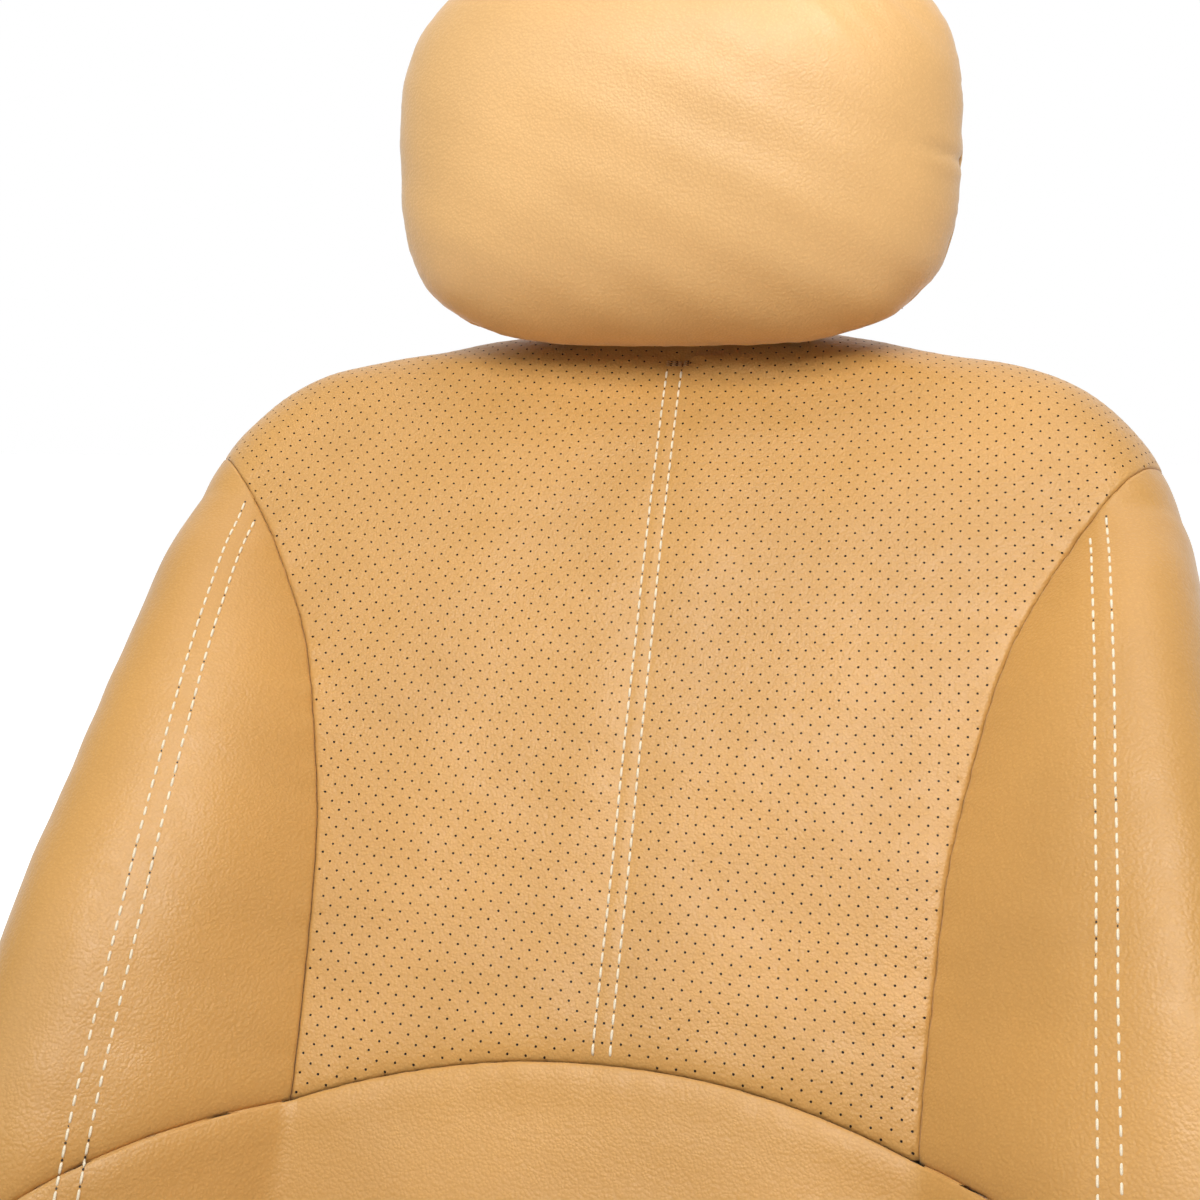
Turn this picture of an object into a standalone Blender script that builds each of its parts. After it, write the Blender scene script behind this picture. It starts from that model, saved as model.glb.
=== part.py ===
"""A fitted front-seat cover set: headrest cover, backrest cover and seat cushion cover.

The covers hold the shape that they take on a seat. Each sewn panel, flap, tape, grommet, strap
and buckle part is an object of its own. X runs across the seat, the seat faces -Y, and Z is up.
The set stands on the hem of the cushion cover at Z = 0.
"""

import math

import bmesh
import bpy
import numpy as np
from mathutils import Matrix, Vector

MM = 0.001

# ---- driving dimensions, in millimetres unless a name says otherwise ----
SHEET = 3.0  # foam-backed cover material
SEAM_GAP = 0.9  # half of the valley between two panels at a seam
SET_FORWARD = 149.0  # moves the whole set so that its box is centred on the origin

# Backrest chart: x across, s up along the front face from the apex of the arch seam.
BACK_LOW = -232.0
ARCH_APEX = (289.0, 392.0)  # where s = 0 lies in the seat's own Y and Z
SEAM_GAP_AT_CORNER = 2.0  # the same where the seam turns over the shoulder
RIM_RADIUS = 42.0
RIM_SEAM = 72.0  # fabric distance from the inner outline to the seam round the rim
DISH_RADIUS = 1490.0  # gentle hollow of the backrest from side to side
LEAN = (33.0, -6.0, 4.3, 5.3)  # degrees of lean from vertical, powers of s / 300
LUMBAR_LEAN_LOSS = 25.0
INNER_OUTLINE = (
    (214, -262), (219, -200), (225, -110), (225, -40), (219, 50), (208, 160), (203, 225),
    (200, 258), (193, 284), (179, 304), (157, 318), (130, 327), (108, 335), (86, 345),
    (55, 351), (0, 353),
)
SIDE_SEAM = (
    (129.5, -27.5), (134, 30), (140, 88), (148, 128), (162, 180), (178, 215), (200, 251), (229, 283),
)
BOLSTER_RISE = ((-262, 36), (-140, 52), (-40, 53), (70, 44), (170, 28), (225, 14), (252, 0), (400, 0))
REAR_CROWN = 26.0
CROWN_FADE = 150.0  # above this height the back face's crown fades into the rim
CENTRE_GRID = (26, 22)  # faces across and up
SIDE_GRID = (8, 22)

FLAP_HALF = 124.0
POCKET = (-150.0, 60.0)  # the map pocket's lowest and highest height on the chart
POCKET_HALF = 165.0
POCKET_BELLY = 8.0

# Headrest
HEAD_HALF = (141.0, 97.0)
HEAD_CENTRE = (182.0, 401.0)  # Y and Z from the apex of the arch seam
HEAD_POWER = 3.1
HEAD_FRONT, HEAD_BAND, HEAD_BACK = 50.0, 34.0, 14.0
HEAD_TAPER = 0.86
POST_HALF_SPACING = 62.0
POST_HOLE = 8.0
POST_DEPTH = 20.0
POST_SLIT = (19.0, 7.0)  # the posts' holes in the neck: distance beyond the inner outline, and radius
POST_TILT = math.radians(30)  # lean of the headrest's posts from vertical
CLOSURE_HALF = 112.0

# Cushion cover
CUSHION_HALF = 262.0
CUSHION_FRONT, CUSHION_REAR = -255.0, 196.0
CUSHION_TOP = 172.0
CUSHION_ROLL = 40.0
CUSHION_BOLSTER = 30.0
CUSHION_SEAM = 150.0
CUSHION_SLOPE = 0.03
SKIRT_DROP = 8.0
APRON_SEAM = -150.0
APRON_ARCH = 18.0
SKIRT_CORNER = 210
HEM_TAPE = (10.0, 6.0)
TUCK = (33.0, 24.0)  # how far the tuck flap reaches back and down
STRAP = (25.0, 2.0, 62.0)
STRAP_AT = 105.0
HOOK_WIRE = 3.2
HOOK_BAR_DROP = 2.0  # how far the hook's bar lies below the end of its strap

# Recline axis, in the seat's own Y and Z
RECLINER = (250.0, 140.0)

TAN = (0.74, 0.47, 0.22)
TAN_DARK = (0.60, 0.36, 0.16)


# ---- small helpers ----
def clear_scene():
    for thing in list(bpy.data.objects):
        bpy.data.objects.remove(thing, do_unlink=True)


def material(name, colour, roughness, metallic=0.0):
    mat = bpy.data.materials.new(name)
    mat.use_nodes = True
    shader = mat.node_tree.nodes["Principled BSDF"]
    shader.inputs["Base Color"].default_value = (*colour, 1.0)
    shader.inputs["Roughness"].default_value = roughness
    shader.inputs["Metallic"].default_value = metallic
    mat.diffuse_color = (*colour, 1.0)
    return mat


def smooth_curve(points, steps=24):
    """A Catmull-Rom curve through the points, as an array of evenly spaced points."""
    pts = np.array(points, float)
    ends = [2 * pts[0] - pts[1], *pts, 2 * pts[-1] - pts[-2]]
    out = []
    for a, b, c, d in zip(ends[:-3], ends[1:-2], ends[2:-1], ends[3:]):
        for t in np.arange(steps) / steps:
            out.append(
                0.5 * (2 * b + (c - a) * t + (2 * a - 5 * b + 4 * c - d) * t**2
                       + (3 * b - a - 3 * c + d) * t**3)
            )
    out.append(pts[-1])
    return resample(np.array(out), 240)


def resample(line, count):
    line = np.asarray(line, float)
    length = np.concatenate([[0], np.cumsum(np.linalg.norm(np.diff(line, axis=0), axis=1))])
    at = np.linspace(0, length[-1], count)
    return np.stack([np.interp(at, length, line[:, k]) for k in range(line.shape[1])], axis=1)


def along(line, share):
    """The point at a share (0 to 1) of an evenly spaced line."""
    at = np.clip(share, 0, 1) * (len(line) - 1)
    return np.stack([np.interp(at, np.arange(len(line)), line[:, k]) for k in range(2)], axis=-1)


# ---- the backrest's surface ----
half_inner = smooth_curve(INNER_OUTLINE)
INNER = resample(np.concatenate([half_inner * (-1, 1), half_inner[-2::-1]]), 1201)
tangent = np.gradient(INNER, axis=0)
OUTWARD = np.stack([-tangent[:, 1], tangent[:, 0]], axis=1)
OUTWARD /= np.linalg.norm(OUTWARD, axis=1, keepdims=True)


def lean(s):
    """The front face's lean from vertical, in radians."""
    u = np.maximum(s, 0) / 300
    top = LEAN[0] + LEAN[1] * u + LEAN[2] * u**2 + LEAN[3] * u**3
    low = LUMBAR_LEAN_LOSS * (np.clip(s, BACK_LOW, 0) / BACK_LOW) ** 1.6
    return np.radians(np.minimum(top - low, 60))


S_TABLE = np.linspace(-330, 480, 811)
step = S_TABLE[1] - S_TABLE[0]
mid_lean = lean((S_TABLE[1:] + S_TABLE[:-1]) / 2)
Y_TABLE = np.concatenate([[0], np.cumsum(np.sin(mid_lean) * step)])
Z_TABLE = np.concatenate([[0], np.cumsum(np.cos(mid_lean) * step)])
Y_TABLE += ARCH_APEX[0] - np.interp(0, S_TABLE, Y_TABLE)
Z_TABLE += ARCH_APEX[1] - np.interp(0, S_TABLE, Z_TABLE)


def seam_x(s):
    line = smooth_curve(SIDE_SEAM)
    return np.interp(s, line[:, 1], line[:, 0])


def inner_x(s):
    return np.interp(s, half_inner[:, 1], half_inner[:, 0])


def front_rise(x, s):
    """How far the front face stands forward of the centreline's sheet."""
    x = np.abs(x)
    dish = x**2 / (2 * DISH_RADIUS)
    width = np.maximum(inner_x(s) - seam_x(s), 8)
    share = np.clip((x - seam_x(s)) / width, 0, 1)
    rise = np.interp(s, *np.array(BOLSTER_RISE, float).T)
    return dish + rise * np.sin(share * math.pi / 2)


def back_point(x, s, w):
    """A point from across, up along the face, and forward of the sheet."""
    angle = lean(s)
    y = np.interp(s, S_TABLE, Y_TABLE) - w * np.cos(angle)
    z = np.interp(s, S_TABLE, Z_TABLE) + w * np.sin(angle)
    return np.stack([x, y - SET_FORWARD, z], axis=-1)


def back_front(flat):
    """The flat cut of the front and rim, wrapped round the backrest."""
    x, s = flat[..., 0].ravel(), flat[..., 1].ravel()
    gap = np.stack([x, s], axis=1)[:, None, :] - INNER[None, :, :]
    near = np.argmin((gap**2).sum(axis=2), axis=1)
    beyond = np.maximum((gap[np.arange(len(x)), near] * OUTWARD[near]).sum(axis=1), 0)
    inside = beyond <= 0
    angle = beyond / RIM_RADIUS
    foot = INNER[near]
    slope = (front_rise(*foot.T) - front_rise(*(foot - 4 * OUTWARD[near]).T)) / 4
    reach = foot + OUTWARD[near] * (RIM_RADIUS * np.sin(angle))[:, None]
    drop = RIM_RADIUS * (1 - np.cos(angle))
    ease = slope * RIM_RADIUS * np.sin(angle) * np.maximum(np.cos(angle), 0)
    w = np.where(inside, front_rise(x, s), front_rise(*foot.T) - drop + ease)
    x = np.where(inside, x, reach[:, 0])
    s = np.where(inside, s, reach[:, 1])
    return back_point(x, s, w).reshape(*flat.shape[:-1], 3)


def back_rear(flat):
    """The back face, inside the inner outline."""
    x, s = flat[..., 0], flat[..., 1]
    share = np.clip(np.abs(x) / np.maximum(inner_x(s), 1), 0, 1)
    rise = np.interp(s, *np.array(BOLSTER_RISE, float).T) * share**2
    height = np.clip((s - CROWN_FADE) / (INNER_OUTLINE[-1][1] - CROWN_FADE), 0, 1)
    crown = REAR_CROWN * (1 - share**2) * (1 - height**2)
    w = x**2 / (2 * DISH_RADIUS) + rise - 2 * RIM_RADIUS - crown
    return back_point(x, s, w)


# ---- sheets ----
def sheet_object(name, place, across, up, mat, collection, thick=SHEET):
    """A grid of across by up faces, laid out by place(u, v), then thickened inwards."""
    mesh = bpy.data.meshes.new(name)
    bm = bmesh.new()
    bmesh.ops.create_grid(bm, x_segments=across, y_segments=up, size=0.5)
    uv = np.array([v.co[:2] for v in bm.verts]) + 0.5
    for vert, point in zip(bm.verts, place(uv[:, 0], uv[:, 1]) * MM):
        vert.co = Vector(point)
    bm.to_mesh(mesh)
    bm.free()
    thing = bpy.data.objects.new(name, mesh)
    collection.objects.link(thing)
    mesh.materials.append(mat)
    mesh.shade_smooth()
    mesh.set_sharp_from_angle(angle=math.radians(40))
    solid = thing.modifiers.new("thickness", "SOLIDIFY")
    solid.thickness = thick * MM
    solid.offset = -1
    return thing


def coons(bottom, top, left, right):
    """A flat cut between four edges; the sides are eased so that they end on the corners."""
    left = ease_ends(left, bottom[0], top[0])
    right = ease_ends(right, bottom[-1], top[-1])

    def place(u, v):
        b, t = along(bottom, u), along(top, u)
        l, r = along(left, v), along(right, v)
        u, v = u[:, None], v[:, None]
        corners = ((1 - u) * (1 - v) * bottom[0] + u * (1 - v) * bottom[-1]
                   + (1 - u) * v * top[0] + u * v * top[-1])
        return (1 - v) * b + v * t + (1 - u) * l + u * r - corners
    return place


def line(*points):
    return resample(np.array(points, float), 60)


def ease_ends(curve, start, end):
    """The same curve, shifted near its ends so that it runs from start to end."""
    t = np.linspace(0, 1, len(curve))[:, None]
    return curve + (1 - t) ** 6 * (start - curve[0]) + t**6 * (end - curve[-1])


def inset(curve, away, by=SEAM_GAP):
    """Moves a line sideways, away from a point."""
    t = np.gradient(curve, axis=0)
    n = np.stack([-t[:, 1], t[:, 0]], axis=1)
    n /= np.linalg.norm(n, axis=1, keepdims=True)
    side = np.sign(((curve - away) * n).sum(axis=1).mean())
    return curve + n * side * by


# ---- backrest cover ----
def arch_s(x):
    return -1 - 26.5 * (np.abs(x) / 129.5) ** 2.1


def rim_line(beyond, first, last):
    """The line at a fabric distance beyond the inner outline, between two of its places."""
    return resample((INNER + OUTWARD * beyond)[first:last + 1], 120)


def nearest(points, target):
    return int(np.argmin(((points - np.array(target)) ** 2).sum(axis=1)))


def backrest_cuts():
    """Places along the inner outline where the panels meet the rim seam."""
    rim = INNER + OUTWARD * RIM_SEAM
    right_half = len(INNER) // 2
    corner = right_half + nearest(rim[right_half:], (258, 302))
    rows = np.arange(right_half, len(INNER))
    arch = rows[np.argmin(np.abs(rim[rows, 1] - arch_s(rim[rows, 0])))]
    low = rows[np.argmin(np.abs(INNER[rows, 1] - BACK_LOW))]
    return corner, int(arch), int(low)


def mirrored(place, flip):
    """The same cut on the other side, with its faces still pointing out."""
    if not flip:
        return place
    def other(u, v):
        return place(1 - u, v) * (-1, 1)
    return other


def backrest_panels(leather, collection, cutters):
    corner, arch, low = backrest_cuts()
    last = len(INNER) - 1
    seam = smooth_curve((*SIDE_SEAM, tuple((INNER + OUTWARD * (RIM_SEAM - SEAM_GAP))[corner])))
    widening = np.linspace(SEAM_GAP, SEAM_GAP_AT_CORNER, len(seam))[:, None]
    centre_seam = inset(seam, (400, 100), widening)
    outer_seam = inset(seam, (0, 100), widening)
    rim_x = (INNER + OUTWARD * (RIM_SEAM - SEAM_GAP))[arch][0]
    neck = rim_line(RIM_SEAM - SEAM_GAP, last - corner, corner)
    centre_x = np.linspace(-centre_seam[0][0], centre_seam[0][0], CENTRE_GRID[0] + 1)
    side_x = np.linspace(outer_seam[0][0], rim_x, SIDE_GRID[0] + 1)
    centre = coons(
        np.stack([centre_x, arch_s(centre_x) + SEAM_GAP], axis=1),
        ease_ends(neck, centre_seam[-1] * (-1, 1), centre_seam[-1]),
        centre_seam * (-1, 1),
        centre_seam,
    )
    panel = sheet_object("backrest_center_panel", lambda u, v: back_front(centre(u, v)),
                         *CENTRE_GRID, leather, collection)
    post_slits(panel, cutters)
    outer = rim_line(RIM_SEAM - SEAM_GAP, corner + 14, arch - 3)[::-1]
    bolster = coons(
        np.stack([side_x, arch_s(side_x) + SEAM_GAP], axis=1),
        line(outer_seam[-1], outer[-1]),
        outer_seam,
        outer,
    )
    for side, flip in (("right", False), ("left", True)):
        place = mirrored(bolster, flip)
        sheet_object(f"backrest_{side}_bolster_panel",
                     lambda u, v, place=place: back_front(place(u, v)),
                     *SIDE_GRID, leather, collection)
    full_x = np.concatenate([-side_x[::-1], centre_x, side_x])
    right_edge = rim_line(RIM_SEAM - SEAM_GAP, arch + 3, low)[::-1]
    lumbar = coons(
        line(right_edge[0] * (-1, 1), right_edge[0]),
        np.stack([full_x, arch_s(full_x) - SEAM_GAP], axis=1),
        right_edge * (-1, 1),
        right_edge,
    )
    sheet_object("backrest_lumbar_panel", lambda u, v: back_front(lumbar(u, v)),
                 len(full_x) - 1, 8, leather, collection)


def bottom_point(x, share, drop):
    """A point below the backrest's open foot, from its front edge (0) to its rear edge (1)."""
    s = np.full_like(x, BACK_LOW)
    front = front_rise(x, s)
    rear = x**2 / (2 * DISH_RADIUS) - 2 * RIM_RADIUS - REAR_CROWN * (1 - (x / inner_x(s)) ** 2)
    return back_point(x, s - drop, front + (rear - front) * share)


def foot_sheet(name, first, last, drops, half_width, mat, collection, thick=SHEET):
    """A flap or tape under the backrest's foot, between two shares of its depth.

    drops gives how far its underside lies below the foot, as drop against share.
    """
    def place(u, v):
        x = (1 - 2 * u) * half_width
        share = first + (last - first) * v
        return bottom_point(x, share, np.interp(share, *drops))
    return sheet_object(name, place, 10, 5, mat, collection, thick)


def backrest_foot(leather, black, collection):
    level = ((0, 1), (SHEET + 0.4, SHEET + 0.4))
    foot_sheet("backrest_tail_flap", 0.04, 0.66, level, FLAP_HALF, leather, collection)
    for name, drop in (("backrest_loop_tape", 5.2), ("backrest_hook_tape", 7.0)):
        foot_sheet(name, 0.46, 0.62, ((0, 1), (drop, drop)), FLAP_HALF - 12, black, collection, 1.4)
    rising = ((0.42, 0.68, 0.985), (10.4, 10.4, SHEET + 0.4))
    foot_sheet("backrest_closure_flap", 0.42, 0.985, rising, FLAP_HALF, leather, collection)


def back_pocket(knit, black, collection):
    """A map pocket on the back face, open along its top, with an elastic binding."""
    def pouch(low, high, stand_off):
        def place(u, v):
            x, s = (1 - 2 * u) * POCKET_HALF, low + (high - low) * v
            flat = np.stack([x, s], axis=-1)
            inner = back_rear(flat)
            angle = lean(s)
            share = np.clip((s - POCKET[0]) / (POCKET[1] - POCKET[0]), 0, 1)
            away = stand_off + POCKET_BELLY * (1 - (x / POCKET_HALF) ** 2) * share
            return inner + np.stack([0 * x, np.cos(angle) * away, -np.sin(angle) * away], axis=-1)
        return place
    sheet_object("backrest_map_pocket", pouch(POCKET[0], POCKET[1] - 12, 3.6), 12, 8, knit,
                 collection, 2.4)
    sheet_object("map_pocket_binding", pouch(POCKET[1] - 11, POCKET[1], 5.0), 12, 1, black,
                 collection, 4.0)


def rim_strip(name, first, last, start, end, across, up, mat, collection):
    """A strip of the rim, from one fabric distance beyond the inner outline to another."""
    seam = (INNER + OUTWARD * start)[first:last + 1]
    travel = np.concatenate([[0], np.cumsum(np.linalg.norm(np.diff(seam, axis=0), axis=1))])

    def place(u, v):
        at = first + np.interp(u * travel[-1], travel, np.arange(len(seam)))
        index = np.arange(len(INNER))
        foot = np.stack([np.interp(at, index, INNER[:, k]) for k in range(2)], axis=1)
        out = np.stack([np.interp(at, index, OUTWARD[:, k]) for k in range(2)], axis=1)
        return back_front(foot + out * (start + v * (end - start))[:, None])
    return sheet_object(name, place, across, up, mat, collection)


def backrest_rim(leather, knit, collection):
    corner, _, low = backrest_cuts()
    last = len(INNER) - 1
    half_turn = math.pi * RIM_RADIUS - SEAM_GAP
    start = RIM_SEAM + SEAM_GAP
    side_start = start + SEAM_GAP
    rim_strip("backrest_right_side_panel", corner + 3, low, side_start, half_turn, 24, 3,
              leather, collection)
    rim_strip("backrest_left_side_panel", last - low, last - corner - 3, side_start, half_turn, 24, 3,
              leather, collection)
    rim_strip("backrest_rear_yoke", last - corner + 1, corner - 1, start, half_turn, CENTRE_GRID[0], 4,
              leather, collection)
    inner_edge = 1.2
    bottom_x = inner_x(BACK_LOW) - inner_edge
    bottom = line((bottom_x, BACK_LOW), (-bottom_x, BACK_LOW))
    right = resample(INNER[corner:low + 1][::-1], 120) - (inner_edge, 0)
    top = resample(INNER[last - corner:corner + 1][::-1], 120) - (0, inner_edge)
    rear = coons(bottom, top, right, right * (-1, 1))
    sheet_object("backrest_rear_panel", lambda u, v: back_rear(rear(u, v)), 14, 16, knit, collection)


# ---- headrest cover ----
def head_outline(turn, scale=1.0):
    """The headrest's outline at an angle in radians, from +X towards the top."""
    c, s = np.cos(turn), np.sin(turn)
    a, b = HEAD_HALF
    reach = (np.abs(c / a) ** HEAD_POWER + np.abs(s / b) ** HEAD_POWER) ** (-1 / HEAD_POWER)
    return np.stack([c * reach, s * reach], axis=-1) * np.asarray(scale)[..., None]


def head_point(across, up, forward):
    """A point of the headrest, from its centre."""
    y = HEAD_CENTRE[0] + ARCH_APEX[0] - SET_FORWARD - forward
    return np.stack([across, y, HEAD_CENTRE[1] + ARCH_APEX[1] + up], axis=-1)


def head_dome(height, scale, base, flip):
    """A domed face over the outline; flip turns it to face the rear."""
    def place(u, v):
        a, b = (1 - 2 * u if flip else 2 * u - 1), 2 * v - 1
        square = np.maximum(np.abs(a), np.abs(b))
        turn = np.arctan2(b * HEAD_HALF[1], a * HEAD_HALF[0])
        share = np.sin(square * math.pi / 2)
        flat = head_outline(turn, scale * share)
        rise = height * np.sqrt(np.maximum(1 - share**2.6, 0))
        return head_point(flat[:, 0], flat[:, 1], base - rise if flip else base + rise)
    return place


def head_band(first, last, front, back):
    """Part of the band round the headrest, between two angles and two depths behind the seam."""
    def place(u, v):
        turn = last + (first - last) * u
        depth = back + (front - back) * v
        scale = 1 - (1 - HEAD_TAPER) * (depth / HEAD_BAND) ** 2
        flat = head_outline(turn, scale)
        return head_point(flat[:, 0], flat[:, 1], -depth)
    return place


def round_cutter(name, centre, direction, radius, collection):
    """A round cutter along a direction."""
    bpy.ops.mesh.primitive_cylinder_add(vertices=24, radius=radius * MM, depth=0.05,
                                        location=Vector(centre) * MM)
    cutter = bpy.context.object
    cutter.name = name
    cutter.rotation_mode = "QUATERNION"
    cutter.rotation_quaternion = Vector(direction).to_track_quat("Z", "Y")
    cutter.hide_render = True
    cutter.display_type = "WIRE"
    for owner in list(cutter.users_collection):
        owner.objects.unlink(cutter)
    collection.objects.link(cutter)
    return cutter


def cut(thing, cutters):
    for cutter in cutters:
        hole = thing.modifiers.new(cutter.name, "BOOLEAN")
        hole.operation = "DIFFERENCE"
        hole.object = cutter


def post_slits(panel, collection):
    """The holes in the neck of the backrest cover that the headrest's posts pass through."""
    beyond, radius = POST_SLIT
    cutters = []
    for side, sign in (("left", -1), ("right", 1)):
        foot = INNER[nearest(INNER, (sign * POST_HALF_SPACING, INNER_OUTLINE[-1][1]))]
        ahead, at, behind = back_front(foot + np.array([(0, beyond - 1), (0, beyond), (0, beyond + 1)]))
        normal = np.cross((1, 0, 0), behind - ahead)
        cutters.append(round_cutter(f"neck_hole_cutter_{side}", at, normal, radius, collection))
    cut(panel, cutters)


def ring(name, centre, inner, outer, thick, mat, collection):
    """A flat eyelet: a turned rectangle section."""
    mesh = bpy.data.meshes.new(name)
    bm = bmesh.new()
    corners = ((outer, thick / 2), (outer, -thick / 2), (inner, -thick / 2), (inner, thick / 2))
    verts = [bm.verts.new((x * MM, 0, z * MM)) for x, z in corners]
    for k in range(4):
        bm.edges.new((verts[k], verts[(k + 1) % 4]))
    bm.to_mesh(mesh)
    bm.free()
    thing = bpy.data.objects.new(name, mesh)
    collection.objects.link(thing)
    mesh.materials.append(mat)
    thing.location = Vector(centre) * MM
    turn = thing.modifiers.new("turn", "SCREW")
    turn.angle = 2 * math.pi
    turn.steps = turn.render_steps = 24
    turn.use_merge_vertices = True
    turn.merge_threshold = 0.00005
    return thing


def slab(name, centre, size, mat, collection, round_edges=0.0):
    """A rectangular piece, with rounded edges if asked."""
    bpy.ops.mesh.primitive_cube_add(size=1, location=Vector(centre) * MM)
    thing = bpy.context.object
    thing.name = name
    thing.scale = Vector(size) * MM
    bpy.ops.object.transform_apply(location=False, rotation=False, scale=True)
    for owner in list(thing.users_collection):
        owner.objects.unlink(thing)
    collection.objects.link(thing)
    thing.data.materials.append(mat)
    if round_edges:
        bevel = thing.modifiers.new("edges", "BEVEL")
        bevel.width = round_edges * MM
        bevel.segments = 2
    return thing


def headrest_cover(mats, collection, cutters):
    leather, black, steel = mats["leather"], mats["black"], mats["steel"]
    gap = SEAM_GAP / 2
    sheet_object("headrest_front_panel", head_dome(HEAD_FRONT, 1.0, gap, False), 20, 16,
                 leather, collection)
    back_panel = head_dome(HEAD_BACK, HEAD_TAPER, -HEAD_BAND - gap, True)
    sheet_object("headrest_rear_panel", back_panel, 14, 10, leather, collection)
    closure = math.atan2(HEAD_HALF[1], CLOSURE_HALF)
    right, left = -closure + 0.012, math.pi + closure - 0.012
    sheet_object("headrest_side_band", head_band(right, left, gap + 0.6, HEAD_BAND - gap), 44, 3,
                 leather, collection)
    under = (math.pi + closure + 0.012, 2 * math.pi - closure - 0.012)
    flaps = (
        ("headrest_front_flap", gap + 0.6, POST_DEPTH - gap),
        ("headrest_rear_flap", POST_DEPTH + gap, HEAD_BAND - gap),
    )
    holes = [
        round_cutter(f"post_hole_cutter_{side}",
                     head_point(sign * POST_HALF_SPACING, -HEAD_HALF[1], -POST_DEPTH),
                     (0, 0, 1), POST_HOLE, cutters)
        for side, sign in (("left", -1), ("right", 1))
    ]
    for name, front, back in flaps:
        flap = sheet_object(name, head_band(*under, front, back), 20, 2, leather, collection)
        cut(flap, holes)
    edge = 1 - (1 - HEAD_TAPER) * (POST_DEPTH / HEAD_BAND) ** 2
    tilt = math.atan(2 * HEAD_HALF[1] * (1 - HEAD_TAPER) * POST_DEPTH / HEAD_BAND**2)
    for side, sign in (("left", -1), ("right", 1)):
        level = head_outline(math.atan2(-HEAD_HALF[1], POST_HALF_SPACING), edge)[1]
        centre = head_point(sign * POST_HALF_SPACING, level + SHEET + 3.2, -POST_DEPTH)
        eyelet = ring(f"headrest_{side}_post_grommet", centre, POST_HOLE - 2, POST_HOLE + 3, 1.6,
                      steel, collection)
        eyelet.rotation_euler.x = tilt
    for name, lift in (("headrest_hook_tape", 2.2), ("headrest_loop_tape", 4.2)):
        centre = head_point(0, -HEAD_HALF[1] * edge + SHEET + lift, -POST_DEPTH)
        tape = slab(name, centre, (70, 14, 1.5), black, collection)
        tape.rotation_euler.x = tilt


# ---- cushion cover ----
def cushion_top(x, y):
    """The height of the cushion cover's top face."""
    x = np.abs(x)
    sit = CUSHION_TOP - CUSHION_SLOPE * (y + 30)
    sit_fade = np.clip((y + 215) / 200, 0, 1) * np.clip((CUSHION_REAR - y) / 120, 0, 1)
    dip = 10 * np.cos(np.clip(x / CUSHION_SEAM, 0, 1) * math.pi / 2) * sit_fade
    width = CUSHION_HALF - CUSHION_ROLL - CUSHION_SEAM
    share = np.clip((x - CUSHION_SEAM) / width, 0, 1)
    rear = np.clip((118 - y) / 150, 0, 1)
    front = np.clip((y - CUSHION_FRONT - 20) / 150, 0, 1)
    fade = 0.25 * (1 - np.cos(math.pi * rear)) * (1 - np.cos(math.pi * front))
    return sit - dip + CUSHION_BOLSTER * np.sin(share * math.pi / 2) * fade


side_in = CUSHION_HALF - CUSHION_ROLL
front_in = CUSHION_FRONT + CUSHION_ROLL
half_cushion = np.array(
    [(side_in, CUSHION_REAR), (side_in, front_in + 60)]
    + [(side_in - 50 + 50 * math.cos(t), front_in + 50 - 50 * math.sin(t))
       for t in np.linspace(0, math.pi / 2, 9)]
    + [(0, front_in)]
)
CUSHION_INNER = resample(np.concatenate([half_cushion, half_cushion[-2::-1] * (-1, 1)]), 601)
cushion_tangent = np.gradient(CUSHION_INNER, axis=0)
CUSHION_OUT = np.stack([-cushion_tangent[:, 1], cushion_tangent[:, 0]], axis=1)
CUSHION_OUT /= np.linalg.norm(CUSHION_OUT, axis=1, keepdims=True)


def cushion_wrap(flat):
    """The flat cut of the cushion cover, laid on the top and rolled over the edges."""
    x, y = flat[:, 0], flat[:, 1]
    gap = flat[:, None, :] - CUSHION_INNER[None, :, :]
    near = np.argmin((gap**2).sum(axis=2), axis=1)
    beyond = np.maximum((gap[np.arange(len(x)), near] * CUSHION_OUT[near]).sum(axis=1), 0)
    foot = CUSHION_INNER[near]
    angle = np.minimum(beyond / CUSHION_ROLL, math.pi / 2)
    hang = np.maximum(beyond - CUSHION_ROLL * math.pi / 2, 0)
    out = foot + CUSHION_OUT[near] * (CUSHION_ROLL * np.sin(angle))[:, None]
    low = cushion_top(*foot.T) - CUSHION_ROLL * (1 - np.cos(angle)) - hang
    inside = beyond <= 0
    x, y = np.where(inside, x, out[:, 0]), np.where(inside, y, out[:, 1])
    z = np.where(inside, cushion_top(x, y), low)
    return np.stack([x, y - SET_FORWARD, z], axis=-1)


def cushion_skirt(first, last):
    """A skirt hanging from the rim seam to the hem, between two places round the outline."""
    def place(u, v):
        at = last + (first - last) * u
        index = np.arange(len(CUSHION_INNER))
        foot = np.stack([np.interp(at, index, CUSHION_INNER[:, k]) for k in range(2)], axis=1)
        out = np.stack([np.interp(at, index, CUSHION_OUT[:, k]) for k in range(2)], axis=1)
        edge = foot + out * CUSHION_ROLL
        top = cushion_top(*foot.T) - CUSHION_ROLL - SKIRT_DROP - 3 * SEAM_GAP
        low = HEM_TAPE[1] + 0.4
        return np.stack([edge[:, 0], edge[:, 1] - SET_FORWARD, low + (top - low) * v], axis=-1)
    return place


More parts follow.
